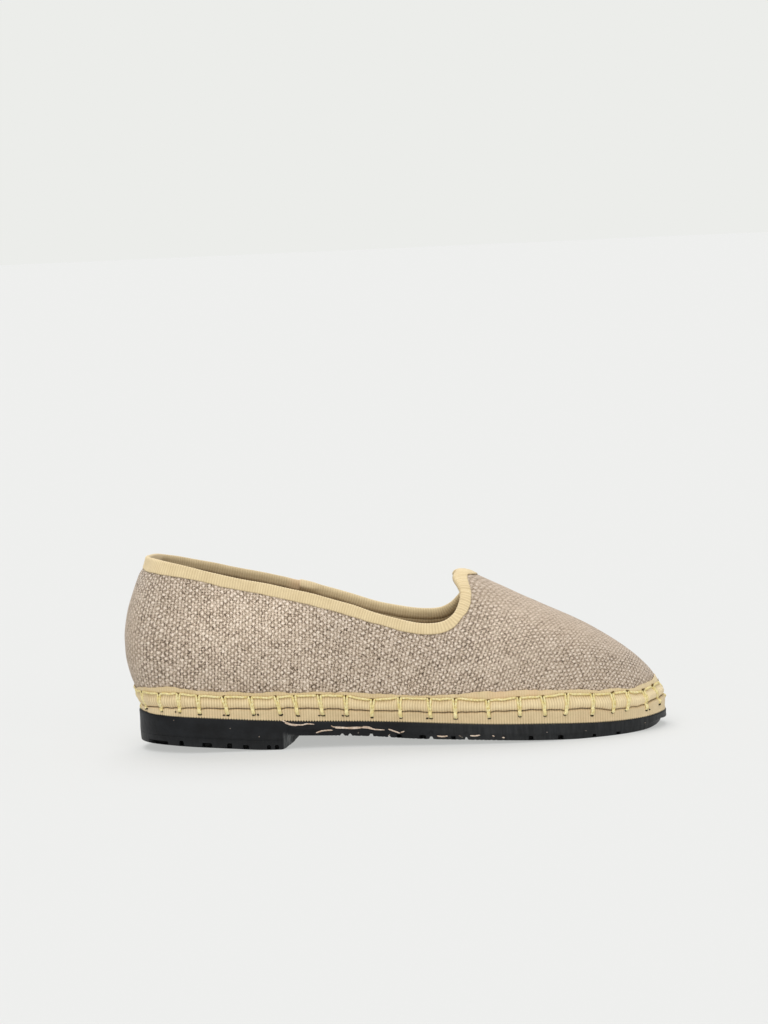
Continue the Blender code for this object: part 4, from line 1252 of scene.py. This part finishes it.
def threadPaths():
    order = np.argsort(stitchWay)
    radius = stitch["radius"]
    paths, eyes = [], []
    for place, n in enumerate(order):
        way, lean = stitchWay[n], stitchLean[n]
        low = holeLevel(n)
        eyes.append((way, low, 0))
        eyes.append((way - lean, 1.09 + 0.14 * smooth(92.0, 104.0, station("x", way)), 1))
        for side in (-1.0, 1.0):
            levels = np.concatenate([rollLevels, low * underShares])
            t = np.linspace(0.0, 1.0, len(levels))
            gap = stitch["spread"] * (1.0 - smooth(0.0, 0.7, t)) + stitch["foot"]
            ways = way - lean * (1.0 - t) + side * gap * dice.uniform(0.8, 1.15)
            lifts = threadLifts * radius * (1.0 - 0.7 * roundEnd(way)) \
                + dice.normal(0.0, 0.03, len(levels))
            paths.append(facePoint(ways, levels, lifts))
        # the long thread to the next hole
        following = order[(place + 1) % len(order)]
        end = stitchWay[following] - stitchLean[following]
        if end < way - lean:
            end += edgeLength
        count = stitch["longCount"]
        t = np.linspace(0.0, 1.0, count)
        ways = lerp(way - lean + stitch["clear"], end - stitch["clear"], t)
        lifts = radius * (0.85 + 0.5 * np.sin(math.pi * t)) * (1.0 - 0.8 * roundEnd(ways)) \
            + dice.normal(0.0, 0.04, count)
        lifts[[0, -1]] = -0.8 * radius
        lifts[[1, -2]] *= 0.85
        wander = 0.06 * np.sin(math.pi * t) * dice.uniform(-1.0, 1.0) \
            + 0.03 * np.sin(2.0 * math.pi * t) * dice.uniform(-1.0, 1.0)
        paths.append(bandPoint(ways, stitch["longLevel"] + wander, lifts))
    return paths, eyes


def polyline(name, paths):
    mesh = bpy.data.meshes.new(name)
    points, edges, start = [], [], 0
    for path in paths:
        points += (path * mm).tolist()
        edges += [(start + k, start + k + 1) for k in range(len(path) - 1)]
        start += len(path)
    mesh.from_pydata(points, edges, [])
    return addObject(name, mesh)


def layThread(name, paths, rule, material):
    return runTree(polyline(name + "_lines", paths), threadTree, {
        "Radius": rule["radius"] * mm, "Twist": rule["twist"] * mm, "Step": rule["step"] * mm,
        "Plies": rule["plies"], "Taper": rule["taper"], "Material": material}, name)


paths, eyes = threadPaths()
threadPiece = layThread("blanket_stitch", paths, stitch, thread)
print("stitching made,", len(threadPiece.data.polygons), "faces")


# Needle holes, as dark plugs painting their shade: a plug's size and depth in mm, how uneven it
# is, and how deep it sits.
holes = {"size": 1.0, "depth": 0.5, "shake": 0.14, "seed": 5, "sunk": 0.16}


def makeHoles(name, kind, twinShare, halfLong, halfTall, turnedBy, material):
    # each hole's painted shade is a dash along the sole's edge, some with a smaller one beside it
    ways, levels = np.array([eye[:2] for eye in eyes if eye[2] == kind]).T
    twins = dice.random(len(ways)) < twinShare
    shift = dice.choice((-1.0, 1.0), twins.sum()) * dice.uniform(1.5, 2.1, twins.sum())
    long, tall = dice.uniform(*halfLong, len(ways)), dice.uniform(*halfTall, len(ways))
    ways = np.concatenate([ways, ways[twins] + shift])
    levels = np.concatenate([levels, levels[twins] - 0.03])
    long = np.concatenate([long, 0.5 * long[twins]])
    tall = np.concatenate([tall, 0.7 * tall[twins]])
    at = facePoint(ways, levels, -holes["sunk"])
    facing = unit(facePoint(ways, levels, 0.5) - facePoint(ways, levels, 0.0))
    ahead = unit(facePoint(ways + 0.3, levels, 0.0) - facePoint(ways - 0.3, levels, 0.0))
    upward = unit(np.cross(facing, ahead))
    turn = np.radians(dice.uniform(-turnedBy, turnedBy, len(ways)))[:, None]
    ahead = np.cos(turn) * np.cross(upward, facing) + np.sin(turn) * upward
    turns = [Matrix((a, u, f)).transposed().to_euler()
             for a, u, f in zip(ahead, np.cross(facing, ahead), facing)]
    mesh = bpy.data.meshes.new(name + "_points")
    mesh.from_pydata((at * mm).tolist(), [], [])
    stretch = np.stack([long, tall, np.ones(len(at))], 1)
    for key, values in (("turn", np.array(turns)), ("stretch", stretch)):
        layer = mesh.attributes.new(key, "FLOAT_VECTOR", "POINT")
        layer.data.foreach_set("vector", values.astype(np.float32).ravel())
    return runTree(addObject(name + "_points", mesh), holeTree, {
        "Size": holes["size"] * mm, "Depth": holes["depth"] * mm,
        "Shake": holes["shake"] * mm, "Seed": holes["seed"], "Material": material}, name)


holePiece = makeHoles("needle_hole_shade", 0, 0.5, (0.75, 1.15), (0.38, 0.60), 12.0, holeShade)
threadedHoles = makeHoles("threaded_hole_shade", 1, 0.0, (1.15, 1.7), (0.44, 0.60), 25.0, holeBrown)
print("needle holes made")

# the rubber sole
sole = {"count": 1240, "breastFoot": -52.0, "breastTop": -45.5, "corner": -53.4, "recess": 2.6,
        "ragged": 0.22, "lip": 2.6, "heelLip": 4.6, "toeLip": 3.9, "step": 0.22,
        "heelStep": 0.10, "toeStep": 2.6, "grooves": 7.5, "grooveDepth": 0.9}
# Cuts open to the floor: x, width, depth; and closed hollows in the side: x, width, height.
openCuts = [(-26.0, 2.2, 0.9), (-22.3, 1.8, 0.9), (-12.5, 1.7, 2.4), (-4.2, 1.4, 0.8),
            (15.3, 2.0, 1.5), (31.5, 1.6, 1.3)]
hollows = [(-112.5, 9.5, 1.6), (-101.3, 1.8, 2.4), (-89.2, 4.4, 2.0), (-78.6, 2.1, 2.3),
           (-71.2, 2.4, 1.8), (-60.4, 1.7, 2.0), (-56.6, 1.6, 2.0), (0.5, 2.0, 1.4),
           (11.4, 2.8, 1.6), (25.5, 1.6, 1.4), (61.5, 2.0, 1.9), (75.4, 2.4, 1.9),
           (91.5, 1.6, 1.4), (103.0, 2.0, 1.2)]


def soleBottom(x, y):
    # underside without its tread: heel block, sloping breast with cut corners, shank
    away = np.abs(y - along(plan, "centre", x))
    corner = x - sole["corner"] - 1.07 * np.maximum(31.3 - away, 0.0)
    t = np.maximum((x - sole["breastFoot"]) / (sole["breastTop"] - sole["breastFoot"]),
                   corner / 1.3)
    block = np.maximum(along(sideLines, "bottom", x), 0.0)
    arch = np.where(x < sole["breastTop"], shank["z"][0], along(shank, "z", x))
    z = np.where(x < sole["breastTop"] + 1.0, lerp(block, arch, np.clip(t, 0.0, 1.0)), arch)
    z = np.maximum(z, np.minimum(z + 0.9 * hump(x, sole["breastFoot"] + 0.4, 1.7), arch))
    return np.where(x > shank["x"][-1], block, z)


def treadDepth(x, y, fraction):
    # shallow cross grooves over the flat parts of the tread
    wave = np.cos(math.tau * (x + 0.25 * np.sin(y * 0.9)) / sole["grooves"])
    flat = np.maximum(smooth(58.0, 64.0, x) * smooth(112.0, 104.0, x),
                      smooth(-116.0, -110.0, x) * smooth(-54.0, -60.0, x))
    return sole["grooveDepth"] * smooth(0.80, 0.95, wave) * flat * smooth(0.0, 0.2, fraction)


def openDepth(x, inset):
    total = np.zeros_like(x)
    for place, width, depth in openCuts:
        across = np.abs(x - place) / (0.5 * width)
        total = np.maximum(total, depth * (1.0 - smooth(0.3, 1.1, across)))
    return total * (1.0 - smooth(7.0, 9.0, inset))


def makeSole():
    count = sole["count"]
    way = np.arange(count) * edgeLength / count
    q = edgeAt(way)
    x, y = outline(q)
    top, low = along(sideLines, "top", x), soleBottom(x, y)
    ragged = smooth(-34.0, -28.0, x) * smooth(60.0, 40.0, x)
    low = low + openDepth(x, 0.0) \
        + sole["ragged"] * ragged * np.clip(wavy(way, 2.6, 51), 0.0, 1.0)
    toe = smooth(0.86, 0.97, np.abs(q))
    block = smooth(sole["breastTop"], sole["breastFoot"], x)
    # a lip runs round over the tread: slight at the sides, standing well out at the toe
    lip = np.minimum(low + lerp(sole["lip"], sole["heelLip"], block),
                     lerp(top - 2.2, sole["toeLip"], toe))
    step = lerp(lerp(sole["step"], sole["heelStep"], block), sole["toeStep"], toe)
    recess, tall = np.zeros(count), np.full(count, 1.6)
    for place, width, height in hollows:
        inside = 1.0 - smooth(0.7, 1.05, np.abs(x - place) / (0.5 * width))
        recess = np.maximum(recess, sole["recess"] * inside)
        tall = np.where(inside > 0.0, height, tall)
    tall = np.minimum(tall, lip - low - 0.7)
    rows, shades = [], []

    def ring(inset, z, shade=0.0):
        rows.append(stack(*outlineOffset(q, -inset), z))
        shades.append(shade + 0.0 * x)

    for inset, drop in ((3.2, 0.05), (1.1, 0.0), (0.45, 0.10), (0.1, 0.42), (0.0, 0.9)):
        ring(inset, top - drop)
    for t in (0.3, 0.6, 0.9):
        ring(0.12 * math.sin(math.pi * t), lerp(top - 0.9, lip + 0.4, t))
    ring(0.06, lip + 0.12)
    ring(0.18 + 0.2 * toe, lip - 0.12)
    ring(0.6 * step, lip - 0.22 - 0.15 * toe)
    ring(step, lip - 0.34 - 0.25 * toe)
    # painted shade deep in the side's hollows
    deep = recess / sole["recess"]
    ring(step + 0.10, low + tall + 0.25)
    ring(step + 0.12 + 0.8 * recess, low + tall + 0.02, deep)
    ring(step + 0.14 + recess, low + 0.75 * tall, deep)
    ring(step + 0.22 + recess, low + 0.42, deep)
    ring(step + 0.26 + 0.15 * recess, low + 0.16)
    edge = step + 0.55
    ring(edge, low)
    for inset in (1.0, 2.4, 4.2, 6.4):
        rx, ry = outlineOffset(q, -edge - inset)
        ring(edge + inset, soleBottom(rx, ry) + openDepth(rx, inset))
    for fraction in np.linspace(0.0, 1.0, 17)[1:]:
        rx, ry = fanInside(q, fraction, edge + 6.4)
        rows.append(stack(rx, ry, soleBottom(rx, ry) + treadDepth(rx, ry, fraction)))
        shades.append(0.0 * x)
    upperRows = []
    for fraction in (1.0, 0.5, 0.0):
        rx, ry = fanInside(q, fraction, 6.0)
        upperRows.append(stack(rx, ry, along(sideLines, "top", rx) - 0.05))
    points = np.stack(upperRows + rows, 1)
    points[..., 2] = np.maximum(points[..., 2], 0.0)
    shade = np.stack([0.0 * x] * 3 + shades, 1)
    px, pz = points[..., 0], points[..., 2]
    # lighter rubber: the breast's cut corner; painted sheen along the forefoot and at the toe;
    # painted reflection of the floor low on the heel
    scuffAndSheen = 0.42 * smooth(-53.7, -53.0, px) * smooth(-47.0, -51.0, px) * smooth(7.0, 6.6, pz)
    scuffAndSheen = scuffAndSheen + 0.07 * smooth(0.0, 36.0, px) + 0.05 * smooth(108.0, 124.0, px)
    scuffAndSheen = scuffAndSheen + 0.025 * smooth(-50.0, -56.0, px) * smooth(9.0, 4.0, pz)
    return newPiece("rubber_sole", points, gridFaces(count, points.shape[1]), rubber,
                    fields={"hollowShade": shade, "scuffAndSheen": scuffAndSheen}, merge=0.02, sharp=38.0)


solePiece = makeSole()
print("sole made,", len(solePiece.data.polygons), "faces")


# the sock inside: stations, gap to the lining, and rings as share inwards and thickness
insole = {"count": 300, "gap": 2.15, "under": (1.0, 0.5, 0.1), "over": (
    (0.0, 1.9), (0.012, 2.5), (0.04, 2.8), (0.1, 2.86), (0.18, 2.8), (0.3, 2.72), (0.45, 2.66),
    (0.62, 2.62), (0.8, 2.6), (1.0, 2.6))}


def makeInsole():
    way = np.arange(insole["count"]) * edgeLength / insole["count"]
    q = edgeAt(way)
    (ex, ey), (ax, ay) = foot(q, -insole["gap"]), fanAxis(q)

    def ring(fraction, lift):
        rx, ry = lerp(ex, ax, fraction), lerp(ey, ay, fraction)
        return stack(rx, ry, along(sideLines, "seam", rx) + shape["footLift"] + lift)

    rows = [ring(fraction, 0.0) for fraction in insole["under"]] + [stack(ex, ey, footHeight(q))]
    points = np.stack(rows + [ring(*row) for row in insole["over"]], 1)
    return newPiece("sock", points, gridFaces(len(q), points.shape[1]), sock,
                    {"weaveMap": points[..., :2]}, merge=0.02)


sockPiece = makeInsole()
print("sock made")

# Loose fibres and specks on the rubber's outer side, listed: x and height over the floor.
fibres = {"radius": 0.33, "twist": 4.0, "step": 0.5, "plies": 3.0, "taper": 0.6, "sunk": 0.14,
          "strandLift": 0.12, "speckLift": 0.08, "speckSize": (0.2, 0.35)}
strands = [[(-53.8, 13.9), (-51.7, 12.8), (-49.2, 11.9), (-44.8, 11.4), (-42.2, 11.8),
            (-38.8, 11.5)],
           [(-52.4, 12.6), (-50.1, 11.8), (-47.6, 11.3), (-46.2, 11.5)],
           [(-38.2, 7.4), (-35.5, 8.2), (-33, 8.4), (-30.3, 8.4)],
           [(-31, 10.6), (-29.8, 9.9), (-26.4, 9.6), (-23.3, 9.3), (-19, 9.3), (-14.8, 9.0),
            (-10.4, 8.1), (-6.2, 7.8)],
           [(-29.0, 9.3), (-25.2, 9.2), (-21.5, 8.9), (-17.2, 8.9)],
           [(-16.2, 9.6), (-13.4, 9.2), (-11.8, 8.6)],
           [(-4.4, 8.1), (-1.9, 7.2), (1, 6.1)], [(1.2, 6.4), (3.0, 7.0)],
           [(18, 4.6), (20.4, 4.2), (23, 4.4)], [(33.3, 4.3), (35.6, 4.1), (37.9, 4.4)],
           [(43.6, 4.0), (44.6, 3.6)], [(48.1, 3.0), (49.3, 2.8)]]
specks = [(-104.4, 15.7), (-77.9, 11.1), (-64.8, 6.6), (-4.0, 5.4), (-4.3, 5.1), (-18.5, 6.6),
          (28.9, 4.0), (28.3, 4.4), (29.5, 3.6), (69, 4.2), (87.3, 3.5), (116, 3.7)]


def sideOfSole(x, z, lift):
    way = wayAt(np.asarray(x, float))
    return outFrom(station("x", way), station("y", way), z, way, lift - fibres["sunk"])


def makeFibres():
    lines = [sideOfSole(*np.array(line, float).T, fibres["strandLift"]) for line in strands]
    for x, z in specks:
        turn = dice.uniform(0.0, math.pi)
        size = dice.uniform(*fibres["speckSize"])
        lines.append(sideOfSole([x, x + size * math.cos(turn)],
                                [z, z + size * math.sin(turn)], fibres["speckLift"]))
    return layThread("loose_fibres", lines, fibres, fibre)


fibrePiece = makeFibres()
print("fibres made")

# everything rides on the shoe's one body
for piece, slotName, nodes in (
        (upper, "linen", ["upper"]), (lining, "sock", []),
        (bindingPiece, "ribbon", ["collar_binding"]), (bandPiece, "ribbon", ["rolled_band"]),
        (foxingPiece, "ribbon", ["midsole"]), (threadPiece, "ribbon", []),
        (holePiece, "ribbon", []), (threadedHoles, "ribbon", []),
        (solePiece, "rubber", ["outsole"]), (sockPiece, "sock", ["insole"]),
        (fibrePiece, "linen", [])):
    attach(piece, body)
    if nodes:
        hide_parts(*nodes)

# floor, light and camera
studio = {"paper": "#ecedea", "glow": 0.53, "albedo": 0.34, "sky": 0.45, "reach": 60.0}
# Lamps: strength, spread in degrees, and the way their light goes.
lamps = {"keyLight": (0.95, 50.0, (0.20, 0.50, -1.0)),
         "topLight": (1.55, 40.0, (0.1, -0.65, -1.0)),
         "fillLight": (0.95, 80.0, (-0.08, 1.0, -0.25))}
# Camera: angles in degrees and its place in mm.
lens = {"length": 158.625, "sensor": 36.0, "near": 0.05, "far": 200.0, "pitch": 4.665,
        "roll": 2.5, "place": (-2.02, -1594.7, 236.73)}


def makeStudio():
    # Backlit white paper: most of its brightness is its own, so shadows stay pale.
    material, _, shader, _ = newMaterial("backlitPaper", 0.95, 0.0)
    shader.inputs["Base Color"].default_value = (studio["albedo"],) * 3 + (1.0,)
    shader.inputs["Emission Color"].default_value = linear(studio["paper"])
    shader.inputs["Emission Strength"].default_value = studio["glow"]
    mesh = bpy.data.meshes.new("studio_floor")
    reach = studio["reach"]
    mesh.from_pydata([(-reach, -reach, 0.0), (reach, -reach, 0.0), (reach, reach, 0.0),
                      (-reach, reach, 0.0)], [], [(0, 1, 2, 3)])
    mesh.materials.append(material)
    floor = addObject("studio_floor", mesh)
    for name, (energy, spreadAngle, way) in lamps.items():
        light = bpy.data.lights.new(name, "SUN")
        light.energy = energy
        light.angle = math.radians(spreadAngle)
        turn = Vector(way).to_track_quat("-Z", "Y").to_euler()
        addObject(name, light).rotation_euler = turn
    world = bpy.data.worlds.new("studio")
    bpy.context.scene.world = world
    world.use_nodes = True
    sky = world.node_tree
    dome = sky.nodes["Background"]
    dome.inputs["Color"].default_value = (1.0, 1.0, 1.0, 1.0)
    dome.inputs["Strength"].default_value = studio["sky"]
    seen = addNode(sky, "ShaderNodeBackground", (linear(studio["paper"]),))
    ray = addNode(sky, "ShaderNodeLightPath").outputs["Is Camera Ray"]
    both = addNode(sky, "ShaderNodeMixShader", (ray, dome, seen))
    sky.links.new(both.outputs[0], sky.nodes["World Output"].inputs["Surface"])
    bpy.context.scene.view_settings.view_transform = "Standard"


def makeCamera():
    data = bpy.data.cameras.new("camera")
    data.lens, data.sensor_width, data.sensor_fit = lens["length"], lens["sensor"], "HORIZONTAL"
    data.clip_start, data.clip_end = lens["near"], lens["far"]
    pitch, roll = math.radians(lens["pitch"]), math.radians(lens["roll"])
    ahead = Vector((0.0, math.cos(pitch), -math.sin(pitch)))
    right = Vector((1.0, 0.0, 0.0))
    up = right.cross(ahead)
    across = right * math.cos(roll) - up * math.sin(roll)
    upward = right * math.sin(roll) + up * math.cos(roll)
    place = Matrix((across, upward, -ahead)).transposed().to_4x4()
    place.translation = Vector(lens["place"]) * mm
    camera = addObject("camera", data)
    camera.matrix_world = place
    bpy.context.scene.camera = camera


makeStudio()
makeCamera()
print("studio made")
